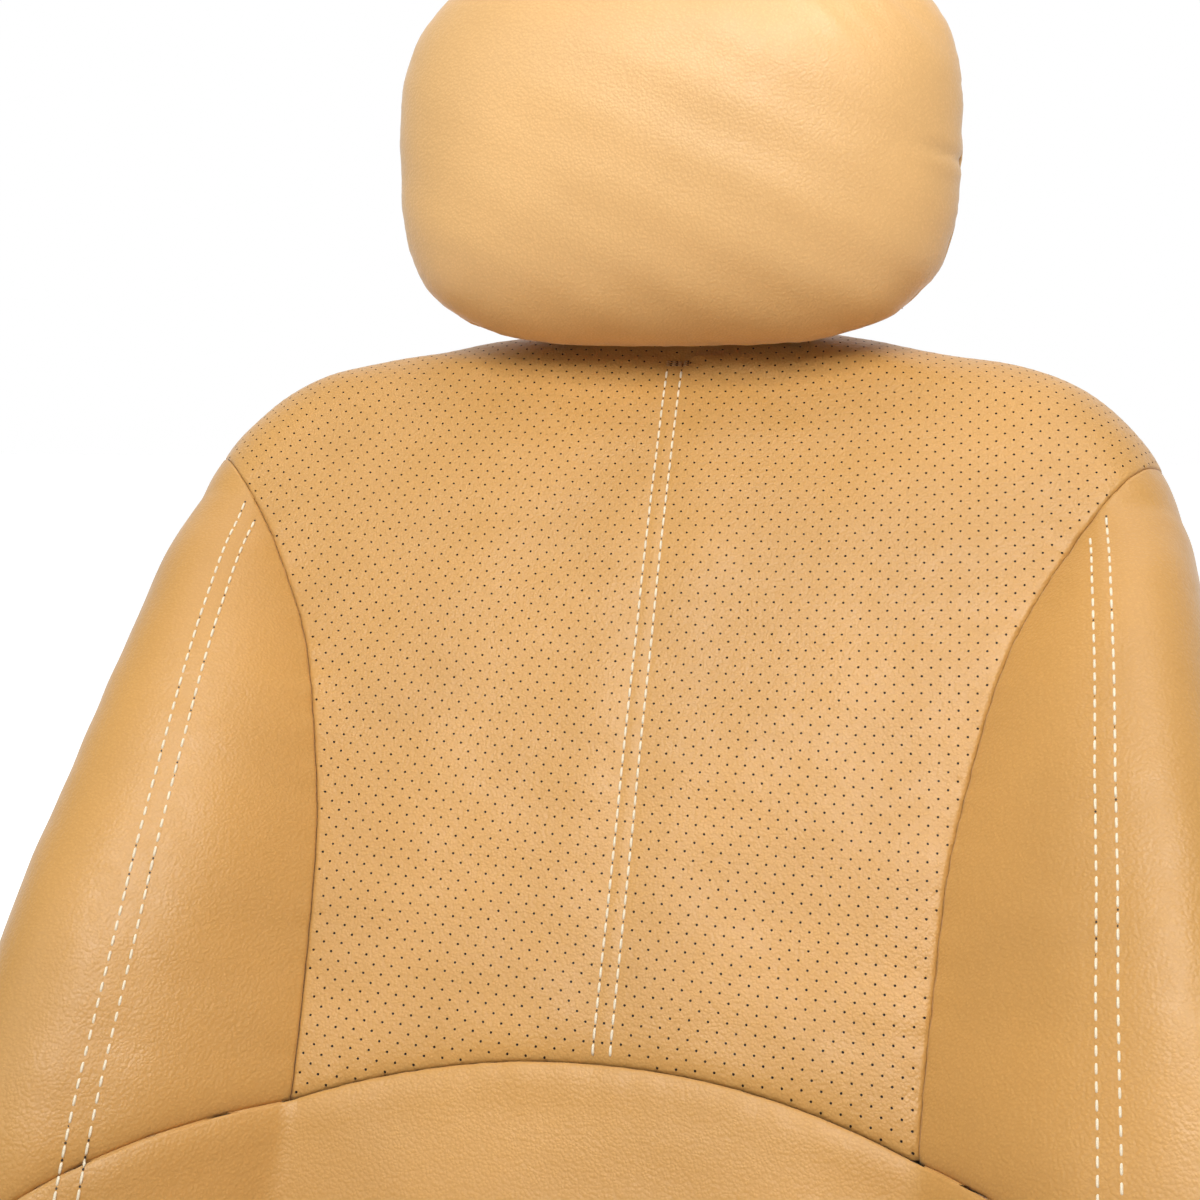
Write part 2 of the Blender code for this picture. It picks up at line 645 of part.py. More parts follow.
def cushion_cover(mats, collection):
    leather, black = mats["leather"], mats["black"]
    count = len(CUSHION_INNER)
    rim = CUSHION_INNER + CUSHION_OUT * (CUSHION_ROLL * math.pi / 2 + SKIRT_DROP)
    front_y = APRON_SEAM

    def apron_y(x):
        return front_y + APRON_ARCH * (np.abs(x) / CUSHION_SEAM) ** 2

    seam_in, seam_out = CUSHION_SEAM - SEAM_GAP, CUSHION_SEAM + SEAM_GAP
    rear = CUSHION_REAR - SEAM_GAP
    xs = np.linspace(-seam_in, seam_in, 21)
    front = np.stack([xs, apron_y(xs) + SEAM_GAP], axis=1)
    panel = coons(front, line((-seam_in, rear), (seam_in, rear)),
                  line(front[0], (-seam_in, rear)), line(front[-1], (seam_in, rear)))
    sheet_object("cushion_center_panel", lambda u, v: cushion_wrap(panel(u, v)), 20, 14,
                 leather, collection)
    edge = int(np.argmin(np.abs(rim[: count // 2, 1] - apron_y(rim[: count // 2, 0]))))
    side_x = np.linspace(seam_out, rim[edge][0], 11)
    outer = ease_ends(resample(rim[:edge][::-1], 60), rim[edge], rim[0])
    bottom = np.stack([side_x, apron_y(side_x) + SEAM_GAP], axis=1)
    outer = outer + (0, SEAM_GAP)
    bolster = coons(bottom, line((seam_out, rear), (outer[-1][0], rear)),
                    line(bottom[0], (seam_out, rear)), outer)
    for side, flip in (("right", False), ("left", True)):
        place = mirrored(bolster, flip)
        sheet_object(f"cushion_{side}_bolster_panel",
                     lambda u, v, place=place: cushion_wrap(place(u, v)), 10, 14,
                     leather, collection)
    full = np.concatenate([-side_x[::-1], xs, side_x])
    top = np.stack([full, apron_y(full) - SEAM_GAP], axis=1)
    low = resample(rim[edge + 1:count - edge - 1][::-1], 160)
    corner = len(low) // 4
    apron = coons(low[corner:-corner], top, low[:corner + 1][::-1], low[-corner - 1:])
    sheet_object("cushion_front_panel", lambda u, v: cushion_wrap(apron(u, v)),
                 len(full) - 1, 8, leather, collection)
    sheet_object("cushion_right_skirt", cushion_skirt(0, SKIRT_CORNER - 0.4), 20, 2, leather, collection)
    front_skirt = cushion_skirt(SKIRT_CORNER + 0.4, count - 1.4 - SKIRT_CORNER)
    sheet_object("cushion_front_skirt", front_skirt, 26, 2, leather, collection)
    sheet_object("cushion_left_skirt", cushion_skirt(count - SKIRT_CORNER - 0.6, count - 1), 20, 2,
                 leather, collection)
    tuck_flap(leather, black, mats["steel"], collection)
    hem_binding(black, collection)


def strap_end(sign):
    """The lower end of the strap on one side of the tuck flap."""
    x = sign * STRAP_AT
    flap = float(cushion_top(np.array([x]), np.array([CUSHION_REAR]))[0]) - TUCK[1] - SHEET
    return x, CUSHION_REAR + TUCK[0] - 6 - SET_FORWARD, flap - 2 - STRAP[2]


def tuck_flap(leather, black, steel, collection):
    """The flap that is pushed through behind the cushion, with two straps and their hooks."""
    def place(u, v):
        x = (2 * u - 1) * FLAP_HALF
        y = CUSHION_REAR + SEAM_GAP + TUCK[0] * (1 - v)
        z = cushion_top(x, np.full_like(x, CUSHION_REAR)) - TUCK[1] * (1 - v) ** 2
        return np.stack([x, y - SET_FORWARD, z], axis=-1)
    sheet_object("cushion_tuck_flap", place, 16, 4, leather, collection)
    for side, sign in (("left", -1), ("right", 1)):
        x, y, low = strap_end(sign)
        slab(f"cushion_{side}_strap", (x, y, low + STRAP[2] / 2), STRAP, black, collection, 0.4)
        strap_hook(f"cushion_{side}_strap_hook", (x, y, low), 9 * sign, steel, collection)


def strap_hook(name, strap_foot, bar_length, steel, collection):
    """A bent wire hook with a cross bar, hanging below its strap."""
    x, y, top = strap_foot
    curve = bpy.data.curves.new(name, "CURVE")
    curve.dimensions = "3D"
    curve.bevel_depth = HOOK_WIRE / 2 * MM
    curve.bevel_resolution = 2
    curve.use_fill_caps = True
    spline = curve.splines.new("POLY")
    bar = top - HOOK_BAR_DROP
    points = [(x + bar_length, y, bar), (x, y, bar), (x, y, top - 24)]
    points += [(x, y + 8 - 8 * math.cos(t), top - 24 - 8 * math.sin(t))
               for t in np.linspace(0, math.pi, 9)[1:]]
    points.append((x, y + 18, top - 16))
    spline.points.add(len(points) - 1)
    for knot, point in zip(spline.points, points):
        knot.co = (*(Vector(point) * MM), 1)
    curve.materials.append(steel)
    thing = bpy.data.objects.new(name, curve)
    collection.objects.link(thing)


def hem_binding(mat, collection):
    """A bound tape round the foot of the skirts, whose flat underside the set stands on."""
    centre = CUSHION_INNER + CUSHION_OUT * (CUSHION_ROLL - SHEET / 2)
    route = resample(centre, 61)
    curve = bpy.data.curves.new("hem_binding", "CURVE")
    curve.dimensions = "2D"
    spline = curve.splines.new("POLY")
    t = np.gradient(route, axis=0)
    n = np.stack([-t[:, 1], t[:, 0]], axis=1) / np.linalg.norm(t, axis=1, keepdims=True)
    ring_points = np.concatenate([route + n * HEM_TAPE[0] / 2, (route - n * HEM_TAPE[0] / 2)[::-1]])
    spline.points.add(len(ring_points) - 1)
    for point, (x, y) in zip(spline.points, ring_points):
        point.co = (x * MM, (y - SET_FORWARD) * MM, 0, 1)
    spline.use_cyclic_u = True
    curve.fill_mode = "BOTH"
    curve.extrude = HEM_TAPE[1] / 2 * MM
    thing = bpy.data.objects.new("cushion_hem_binding", curve)
    thing.location.z = HEM_TAPE[1] / 2 * MM
    curve.materials.append(mat)
    collection.objects.link(thing)


# ---- joints ----
def pivot(name, at, collection, parent=None, direction=(0, 0, 1)):
    """An empty on a joint's axis, with its own Z along the direction."""
    empty = bpy.data.objects.new(name, None)
    empty.empty_display_size = 0.03
    collection.objects.link(empty)
    turn = Vector(direction).to_track_quat("Z", "Y").to_matrix().to_4x4()
    empty.matrix_world = Matrix.Translation(Vector(at) * MM) @ turn
    attach(empty, parent)
    return empty


def attach(thing, parent):
    """Parents a piece to an empty and leaves it where it is."""
    if parent:
        bpy.context.view_layer.update()
        thing.parent = parent
        thing.matrix_parent_inverse = parent.matrix_world.inverted()


def joint_empties(collection):
    """Hangs every moving piece on an empty that lies on its joint's axis."""
    pieces = list(collection.objects)
    recline = pivot("recline_axis", (0, RECLINER[0] - SET_FORWARD, RECLINER[1]), collection)
    rise = (0, math.sin(POST_TILT), math.cos(POST_TILT))
    height = pivot("headrest_height_axis", head_point(0, -HEAD_HALF[1], -POST_DEPTH), collection,
                   recline, rise)
    foot = bottom_point(np.zeros(1), 1.0, SHEET - 1)[0]
    closure = pivot("closure_axis", foot, collection, recline)
    moving = {"backrest_closure_flap": closure, "backrest_hook_tape": closure}
    for side, sign in (("left", -1), ("right", 1)):
        x, y, low = strap_end(sign)
        hook = pivot(f"{side}_hook_axis", (x, y, low - HOOK_BAR_DROP), collection)
        moving[f"cushion_{side}_strap_hook"] = hook
    for piece in pieces:
        kind = piece.name.split("_")[0]
        group = {"headrest": height, "backrest": recline, "map": recline}.get(kind)
        attach(piece, moving.get(piece.name, group))


def main():
    clear_scene()
    collection = bpy.data.collections.new("seat_cover_set")
    cutters = bpy.data.collections.new("cutters")
    for group in (collection, cutters):
        bpy.context.scene.collection.children.link(group)
    mats = {
        "leather": material("leatherette", TAN, 0.5),
        "knit": material("knit_backing", TAN_DARK, 0.85),
        "black": material("hook_and_loop", (0.02, 0.02, 0.02), 0.9),
        "steel": material("plated_steel", (0.6, 0.6, 0.62), 0.3, 1.0),
    }
    backrest_panels(mats["leather"], collection, cutters)
    backrest_rim(mats["leather"], mats["knit"], collection)
    backrest_foot(mats["leather"], mats["black"], collection)
    back_pocket(mats["knit"], mats["black"], collection)
    headrest_cover(mats, collection, cutters)
    cushion_cover(mats, collection)
    joint_empties(collection)


main()
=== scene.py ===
"""The looks of the seat cover set: sewn panels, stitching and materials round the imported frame."""

import math

import bmesh
import bpy
import numpy as np
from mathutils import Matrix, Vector
from mathutils.geometry import delaunay_2d_cdt
from mathutils.kdtree import KDTree


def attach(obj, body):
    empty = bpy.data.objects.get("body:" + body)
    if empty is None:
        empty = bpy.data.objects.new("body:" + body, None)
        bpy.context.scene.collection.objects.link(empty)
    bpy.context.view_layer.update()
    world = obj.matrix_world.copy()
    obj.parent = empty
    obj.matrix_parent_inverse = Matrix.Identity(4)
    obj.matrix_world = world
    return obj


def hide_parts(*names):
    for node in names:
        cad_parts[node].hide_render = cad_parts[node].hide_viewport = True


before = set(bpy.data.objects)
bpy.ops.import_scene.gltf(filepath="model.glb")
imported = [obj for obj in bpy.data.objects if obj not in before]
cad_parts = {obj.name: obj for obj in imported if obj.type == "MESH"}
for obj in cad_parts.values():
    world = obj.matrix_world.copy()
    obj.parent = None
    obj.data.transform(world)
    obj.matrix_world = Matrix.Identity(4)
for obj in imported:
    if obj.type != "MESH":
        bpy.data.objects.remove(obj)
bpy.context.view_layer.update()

MM = 0.001

# ---- the set's driving dimensions, in millimetres ----
# The inner outline, the headrest's shape and the neck holes differ from the frame's.
SHEET = 3.0
SEAM_GAP = 0.08
SET_FORWARD = 149.0
BACK_LOW = -232.0
ARCH_APEX = (289.0, 392.0)
RIM_RADIUS = 42.0
RIM_SEAM = 72.0
DISH_RADIUS = 1490.0
LEAN = (33.0, -6.0, 4.3, 5.3)
LUMBAR_LEAN_LOSS = 25.0
INNER_OUTLINE = (
    (214, -262), (219, -200), (225, -110), (225, -40), (219, 50), (211.5, 140), (209, 205),
    (207, 250), (200, 283), (184, 308), (160, 323), (133, 332), (109, 340), (86, 348),
    (55, 355), (0, 357),
)
SIDE_SEAM = (
    (129.5, -27.5), (134, 30), (140, 88), (148, 128), (162, 180), (178, 215), (200, 251),
    (229, 283),
)
BOLSTER_RISE = (
    (-262, 36), (-140, 52), (-40, 53), (70, 44), (170, 28), (225, 14), (252, 0), (400, 0),
)
REAR_CROWN = 26.0
CROWN_FADE = 150.0
FLAP_HALF = 124.0
POCKET = (-150.0, 60.0)
POCKET_HALF = 165.0
POCKET_BELLY = 8.0

HEAD_HALF = (141.0, 97.0)
HEAD_CENTRE = (182.0, 397.0)
HEAD_Y = HEAD_CENTRE[0] + ARCH_APEX[0] - SET_FORWARD  # of the headrest's front seam
HEAD_Z = HEAD_CENTRE[1] + ARCH_APEX[1]
HEAD_POWER = 3.1  # of the outline's upper half
HEAD_POWER_LOW = 3.4
HEAD_NARROWING = 0.02  # share by which the headrest's top is narrower
HEAD_FRONT, HEAD_BAND, HEAD_BACK = 50.0, 34.0, 14.0
HEAD_TAPER = 0.86
POST_HALF_SPACING = 62.0
POST_HOLE = 8.0
POST_DEPTH = 20.0
POST_SLIT = (29.0, 5.5)  # the neck holes: distance beyond the inner outline, and radius
CLOSURE_HALF = 112.0
HEAD_TAPE = (70.0, 14.0)

CUSHION_HALF = 262.0
CUSHION_FRONT, CUSHION_REAR = -255.0, 196.0
CUSHION_TOP = 172.0
CUSHION_ROLL = 40.0
CUSHION_BOLSTER = 30.0
CUSHION_SEAM = 150.0
CUSHION_SLOPE = 0.03
SKIRT_DROP = 8.0
APRON_SEAM = -150.0
APRON_ARCH = 18.0
SKIRT_CORNER = 210
HEM_TAPE = (10.0, 6.0)
TUCK = (33.0, 24.0)
STRAP = (25.0, 2.0, 62.0)
STRAP_AT = 105.0
HOOK_WIRE = 3.2
HOOK_BAR_DROP = 2.0

# ---- dimensions of the fine detail, in millimetres ----
HOLE_PITCH = 8.0  # two square lattices, one centred in the other
HOLE_RADIUS = 0.56
HOLE_DEPTH = 1.1
HOLE_SIDES = 8
STITCH_PITCH = 6.4
STITCH_COVER = 0.80  # share of the pitch that the thread covers
THREAD = 0.60
TWIN = 3.75  # half the distance between the two rows of a twin topstitch
EDGE_ROLL = 1.4  # radius of a panel's turned edge
BOLSTER_STITCH = ((-232, 192), (-45, 194), (70, 197), (230, 202.5), (262, 204))


# ---- curves and charts ----
def resample(line, count):
    line = np.asarray(line, float)
    length = np.concatenate([[0], np.cumsum(np.linalg.norm(np.diff(line, axis=0), axis=1))])
    at = np.linspace(0, length[-1], count)
    return np.stack([np.interp(at, length, line[:, k]) for k in range(line.shape[1])], axis=1)


def smooth_curve(points, steps=24, count=240):
    """A Catmull-Rom curve through the points, as an array of evenly spaced points."""
    pts = np.array(points, float)
    ends = [2 * pts[0] - pts[1], *pts, 2 * pts[-1] - pts[-2]]
    out = []
    for a, b, c, d in zip(ends[:-3], ends[1:-2], ends[2:-1], ends[3:]):
        for t in np.arange(steps) / steps:
            out.append(
                0.5 * (2 * b + (c - a) * t + (2 * a - 5 * b + 4 * c - d) * t**2
                       + (3 * b - a - 3 * c + d) * t**3)
            )
    out.append(pts[-1])
    return resample(np.array(out), count)


def along(line, share):
    at = np.clip(share, 0, 1) * (len(line) - 1)
    return np.stack([np.interp(at, np.arange(len(line)), line[:, k]) for k in range(2)], axis=-1)


def at_index(table, at):
    index = np.arange(len(table))
    return np.stack([np.interp(at, index, table[:, k]) for k in range(table.shape[1])], axis=1)


half_inner = smooth_curve(INNER_OUTLINE)
INNER = resample(np.concatenate([half_inner * (-1, 1), half_inner[-2::-1]]), 1201)
tangent = np.gradient(INNER, axis=0)
OUTWARD = np.stack([-tangent[:, 1], tangent[:, 0]], axis=1)
OUTWARD /= np.linalg.norm(OUTWARD, axis=1, keepdims=True)
ALONG = tangent / np.linalg.norm(tangent, axis=1, keepdims=True)


def tree_of(points):
    tree = KDTree(len(points))
    for k, p in enumerate(points):
        tree.insert((*p, 0.0)[:3], k)
    tree.balance()
    return tree


def find_all(tree, points):
    """The index of and distance to the nearest of the tree's points, for each point."""
    found = [tree.find((*p, 0.0)[:3]) for p in points.tolist()]
    return np.array([f[1] for f in found]), np.array([f[2] for f in found])


INNER_TREE = tree_of(INNER)


def foot_on(tree, curve, way, flat):
    """Where along the curve each point's nearest foot lies, as a fractional index."""
    near = find_all(tree, flat)[0].astype(float)

    def miss(at):
        return ((flat - at_index(curve, at)) * at_index(way, at)).sum(axis=1)
    slope = np.minimum((miss(near + 1) - miss(near - 1)) / 2, -1e-3)
    at = near - np.clip(miss(near) / slope, -1, 1)
    at -= np.clip(miss(at) / slope, -1, 1)
    return np.clip(at, 0, len(curve) - 1)


def lean(s):
    u = np.maximum(s, 0) / 300
    top = LEAN[0] + LEAN[1] * u + LEAN[2] * u**2 + LEAN[3] * u**3
    low = LUMBAR_LEAN_LOSS * (np.clip(s, BACK_LOW, 0) / BACK_LOW) ** 1.6
    return np.radians(np.minimum(top - low, 60))


S_TABLE = np.linspace(-330, 480, 811)
step = S_TABLE[1] - S_TABLE[0]
mid_lean = lean((S_TABLE[1:] + S_TABLE[:-1]) / 2)
Y_TABLE = np.concatenate([[0], np.cumsum(np.sin(mid_lean) * step)])
Z_TABLE = np.concatenate([[0], np.cumsum(np.cos(mid_lean) * step)])
Y_TABLE += ARCH_APEX[0] - np.interp(0, S_TABLE, Y_TABLE)
Z_TABLE += ARCH_APEX[1] - np.interp(0, S_TABLE, Z_TABLE)
SEAM_LINE = smooth_curve(SIDE_SEAM)


def eased(points, width):
    """The line through the points as a table over a millimetre grid, with its corners rounded."""
    grid = np.arange(-400, 560, 1.0)
    reach = np.arange(-3 * width, 3 * width + 1)
    kernel = np.exp(-0.5 * (reach / width) ** 2)
    values = np.interp(grid, *np.array(points, float).T)
    padded = np.pad(values, len(reach) // 2, mode="edge")
    return grid, np.convolve(padded, kernel / kernel.sum(), mode="valid")


RISE_LINE = eased(BOLSTER_RISE, 10)
STITCH_LINE = eased(BOLSTER_STITCH, 25)


def seam_x(s):
    return np.interp(s, SEAM_LINE[:, 1], SEAM_LINE[:, 0])


def inner_x(s):
    return np.interp(s, half_inner[:, 1], half_inner[:, 0])


def stitch_x(s):
    return np.interp(s, *STITCH_LINE)


def front_rise(x, s):
    x = np.abs(x)
    dish = x**2 / (2 * DISH_RADIUS)
    width = np.maximum(inner_x(s) - seam_x(s), 8)
    share = np.clip((x - seam_x(s)) / width, 0, 1)
    rise = np.interp(s, *RISE_LINE)
    return dish + rise * np.sin(share * math.pi / 2)


def edge_slopes():
    """How steeply the front face rises towards the inner outline, along that outline."""
    slope = (front_rise(*INNER.T) - front_rise(*(INNER - 4 * OUTWARD).T)) / 4
    reach = np.arange(-45, 46)
    kernel = np.exp(-0.5 * (reach / 15) ** 2)
    return np.convolve(np.pad(slope, 45, mode="edge"), kernel / kernel.sum(), mode="valid")


EDGE_SLOPES = edge_slopes()


def back_point(x, s, w):
    angle = lean(s)
    y = np.interp(s, S_TABLE, Y_TABLE) - w * np.cos(angle)
    z = np.interp(s, S_TABLE, Z_TABLE) + w * np.sin(angle)
    return np.stack([x, y - SET_FORWARD, z], axis=-1)


def back_front(flat):
    """The flat cut of the front and rim, wrapped round the backrest."""
    x, s = flat[:, 0], flat[:, 1]
    at = foot_on(INNER_TREE, INNER, ALONG, flat)
    foot, out = at_index(INNER, at), at_index(OUTWARD, at)
    beyond = np.maximum(((flat - foot) * out).sum(axis=1), 0)
    angle = beyond / RIM_RADIUS
    slope = np.interp(at, np.arange(len(EDGE_SLOPES)), EDGE_SLOPES)
    reach = foot + out * (RIM_RADIUS * np.sin(angle))[:, None]
    drop = RIM_RADIUS * (1 - np.cos(angle))
    ease = slope * RIM_RADIUS * np.sin(angle) * np.maximum(np.cos(angle), 0)
    inside = beyond <= 0
    w = np.where(inside, front_rise(x, s), front_rise(*foot.T) - drop + ease)
    return back_point(np.where(inside, x, reach[:, 0]), np.where(inside, s, reach[:, 1]), w)


def back_rear(flat):
    """The back face, inside the inner outline."""
    x, s = flat[..., 0], flat[..., 1]
    share = np.clip(np.abs(x) / np.maximum(inner_x(s), 1), 0, 1)
    rise = np.interp(s, *RISE_LINE) * share**2
    height = np.clip((s - CROWN_FADE) / (INNER_OUTLINE[-1][1] - CROWN_FADE), 0, 1)
    crown = REAR_CROWN * (1 - share**2) * (1 - height**2)
    w = x**2 / (2 * DISH_RADIUS) + rise - 2 * RIM_RADIUS - crown
    return back_point(x, s, w)


def ease_ends(curve, start, end):
    t = np.linspace(0, 1, len(curve))[:, None]
    return curve + (1 - t) ** 6 * (start - curve[0]) + t**6 * (end - curve[-1])


def coons(bottom, top, left, right):
    """A flat cut between four edges; the sides are eased so that they end on the corners."""
    left = ease_ends(left, bottom[0], top[0])
    right = ease_ends(right, bottom[-1], top[-1])

    def place(u, v):
        b, t = along(bottom, u), along(top, u)
        l, r = along(left, v), along(right, v)
        u, v = u[:, None], v[:, None]
        corners = ((1 - u) * (1 - v) * bottom[0] + u * (1 - v) * bottom[-1]
                   + (1 - u) * v * top[0] + u * v * top[-1])
        return (1 - v) * b + v * t + (1 - u) * l + u * r - corners
    return place


def line(*points):
    return resample(np.array(points, float), 60)


def inset(curve, away, by=SEAM_GAP):
    t = np.gradient(curve, axis=0)
    n = np.stack([-t[:, 1], t[:, 0]], axis=1)
    n /= np.linalg.norm(n, axis=1, keepdims=True)
    side = np.sign(((curve - away) * n).sum(axis=1).mean())
    return curve + n * side * by


def mirrored(place, flip):
    if not flip:
        return place

    def other(u, v):
        return place(1 - u, v) * (-1, 1)
    return other


def arch_s(x):
    return -1 - 26.5 * (np.abs(x) / 129.5) ** 2.1


def rim_line(beyond, first, last):
    return resample((INNER + OUTWARD * beyond)[first:last + 1], 120)


def nearest(points, target):
    return int(np.argmin(((points - np.array(target)) ** 2).sum(axis=1)))


# ---- relief: the shape that sewing, foam and wear give a panel, in millimetres ----
def ripple(points, size, seed, waves=9):
    """Smooth unevenness of unit height whose bumps are about size millimetres apart."""
    rng = np.random.default_rng(seed)
    points = np.atleast_2d(points)
    total = np.zeros(len(points))
    for _ in range(waves):
        way = rng.normal(size=points.shape[1])
        way *= 2 * math.pi / (size * rng.uniform(0.75, 1.5)) / np.linalg.norm(way)
        total += np.sin(points @ way + rng.uniform(0, 2 * math.pi))
    return total / math.sqrt(waves)


def bump(value, width):
    return np.exp(-(value / width) ** 2)


def edge_roll(distance, radius=EDGE_ROLL):
    """How far a turned edge drops below the panel, from the distance to the seam."""
    inside = np.clip(distance / radius, 0, 1)
    return radius * (1 - np.sqrt(np.maximum(1 - (1 - inside) ** 2, 0)))


def seam_relief(distance, arc, seed, pucker=0.3):
    """The rolled edge and the small puckers that a seam pulls into a panel."""
    pull = ripple(arc[:, None], 15, seed) * pucker * np.exp(-distance / 7)
    tight = ripple(arc[:, None], 6.4, seed + 1) * 0.4 * pucker * np.exp(-distance / 2.5)
    return pull + tight - edge_roll(distance) - 0.5 * np.exp(-distance / 5)


def front_relief(flat):
    """Relief of the backrest's front and rim, which all its front panels share."""
    x, s = flat[:, 0], flat[:, 1]
    from_arch = s - arch_s(x)
    above = np.maximum(from_arch, 0)
    below = np.maximum(-from_arch, 0)
    centre = np.abs(x) < seam_x(s)
    h = np.where(from_arch > 0, -2.6 * np.exp(-above / 4.5), 0.0)
    apex = np.exp(-(x / 75) ** 2) * np.exp(-below / 16)
    h += np.where(from_arch < 0, 0.55 * apex * ripple(x[:, None] + 0.25 * s[:, None], 13, 5), 0)
    h += np.where(from_arch < 0, 0.8 * np.exp(-((below - 8) / 7) ** 2), 0)
    # foam unevenness
    h += 0.55 * ripple(flat, 90, 11) + 0.16 * ripple(flat, 34, 12)
    # centre twin topstitch pulls a shallow groove into the foam
    on_centre = np.where(from_arch > 0, 1.0, 0.0)
    h += on_centre * (-1.0 * bump(x, 14) - 0.35 * bump(np.abs(x) - TWIN, 1.3) + 0.22 * bump(x, 2.2))
    # bolster twin topstitch
    from_row = np.abs(x) - stitch_x(s)
    low = np.clip((s + 232) / 30, 0, 1) * np.clip((262 - s) / 20, 0, 1) * ~centre
    h += low * (-1.3 * bump(from_row, 15) - 0.35 * bump(np.abs(from_row) - TWIN, 1.3)
                + 0.2 * bump(from_row, 2.2))
    # slack folds below the headrest, fanning out from the end of the centre stitch
    h += neck_folds(x, s)
    return h


def neck_folds(x, s):
    reach = np.hypot(x - 2, s - 356)
    turn = np.degrees(np.arctan2(356 - s, np.abs(x - 2) + 1e-6))
    right = x > 2
    fan = np.zeros_like(x)
    for at, wide, high, on_right in ((4, 5, 2.0, True), (13, 5, 1.5, True), (24, 6, 1.0, True),
                                     (38, 7, 0.6, True), (7, 6, 1.2, False), (22, 8, 0.6, False)):
        side = right if on_right else ~right
        fan += np.where(side, high * bump(turn - at, wide), 0)
    fade = np.clip(reach / 14, 0, 1) * np.exp(-(reach / 62) ** 2)
    sag = -1.6 * bump(s - 340, 14) * bump(x - 38, 30)
    tack = -1.3 * bump(reach, 7)
    shoulder = 1.2 * bump((s - 352 + 0.25 * (x + 120)), 8) * bump(x + 120, 30)
    return fan * fade + sag + tack + shoulder


# ---- materials ----
def new_material(name, roughness, metallic=0.0, **extra):
    mat = bpy.data.materials.new(name)
    mat.use_nodes = True
    shader = mat.node_tree.nodes["Principled BSDF"]
    shader.inputs["Roughness"].default_value = roughness
    shader.inputs["Metallic"].default_value = metallic
    for key, value in extra.items():
        shader.inputs[key.replace("_", " ")].default_value = value
    return mat, mat.node_tree, shader


def ramp(tree, low, high, colours):
    made = tree.nodes.new("ShaderNodeValToRGB")
    ends = made.color_ramp.elements
    ends[0].position, ends[1].position = low, high
    ends[0].color, ends[1].color = (*colours[0], 1), (*colours[1], 1)
    return made


def toned(tree, source, low, high, colours):
    """The colour output of a ramp that the source drives."""
    made = ramp(tree, low, high, colours)
    tree.links.new(source, made.inputs["Fac"])
    return made.outputs["Color"]


def mapped(tree, source, target, reach, levels, smoothly=False):
    """Links the source to the target through a range map."""
    made = tree.nodes.new("ShaderNodeMapRange")
    if smoothly:
        made.interpolation_type = "SMOOTHSTEP"
    for end, value in zip(("From Min", "From Max", "To Min", "To Max"), (*reach, *levels)):
        made.inputs[end].default_value = value
    tree.links.new(source, made.inputs["Value"])
    tree.links.new(made.outputs["Result"], target)


def noise(tree, coords, scale, detail=2.0, roughness=0.5):
    made = tree.nodes.new("ShaderNodeTexNoise")
    made.inputs["Scale"].default_value = scale
    made.inputs["Detail"].default_value = detail
    made.inputs["Roughness"].default_value = roughness
    tree.links.new(coords.outputs["Object"], made.inputs["Vector"])
    return made


def add_bump(tree, shader, heights, distance):
    """Chains bump nodes; heights is a list of (output, strength)."""
    last = None
    for output, strength in heights:
        made = tree.nodes.new("ShaderNodeBump")
        made.inputs["Strength"].default_value = strength
        made.inputs["Distance"].default_value = distance
        tree.links.new(output, made.inputs["Height"])
        if last:
            tree.links.new(last.outputs["Normal"], made.inputs["Normal"])
        last = made
    tree.links.new(last.outputs["Normal"], shader.inputs["Normal"])


def mix_colour(tree, factor, a, b, blend="MIX"):
    made = tree.nodes.new("ShaderNodeMix")
    made.data_type = "RGBA"
    made.blend_type = blend
    if isinstance(factor, float):
        made.inputs[0].default_value = factor
    else:
        tree.links.new(factor, made.inputs[0])
    for socket, value in ((6, a), (7, b)):
        if isinstance(value, tuple):
            made.inputs[socket].default_value = (*value, 1)
        else:
            tree.links.new(value, made.inputs[socket])
    return made.outputs[2]


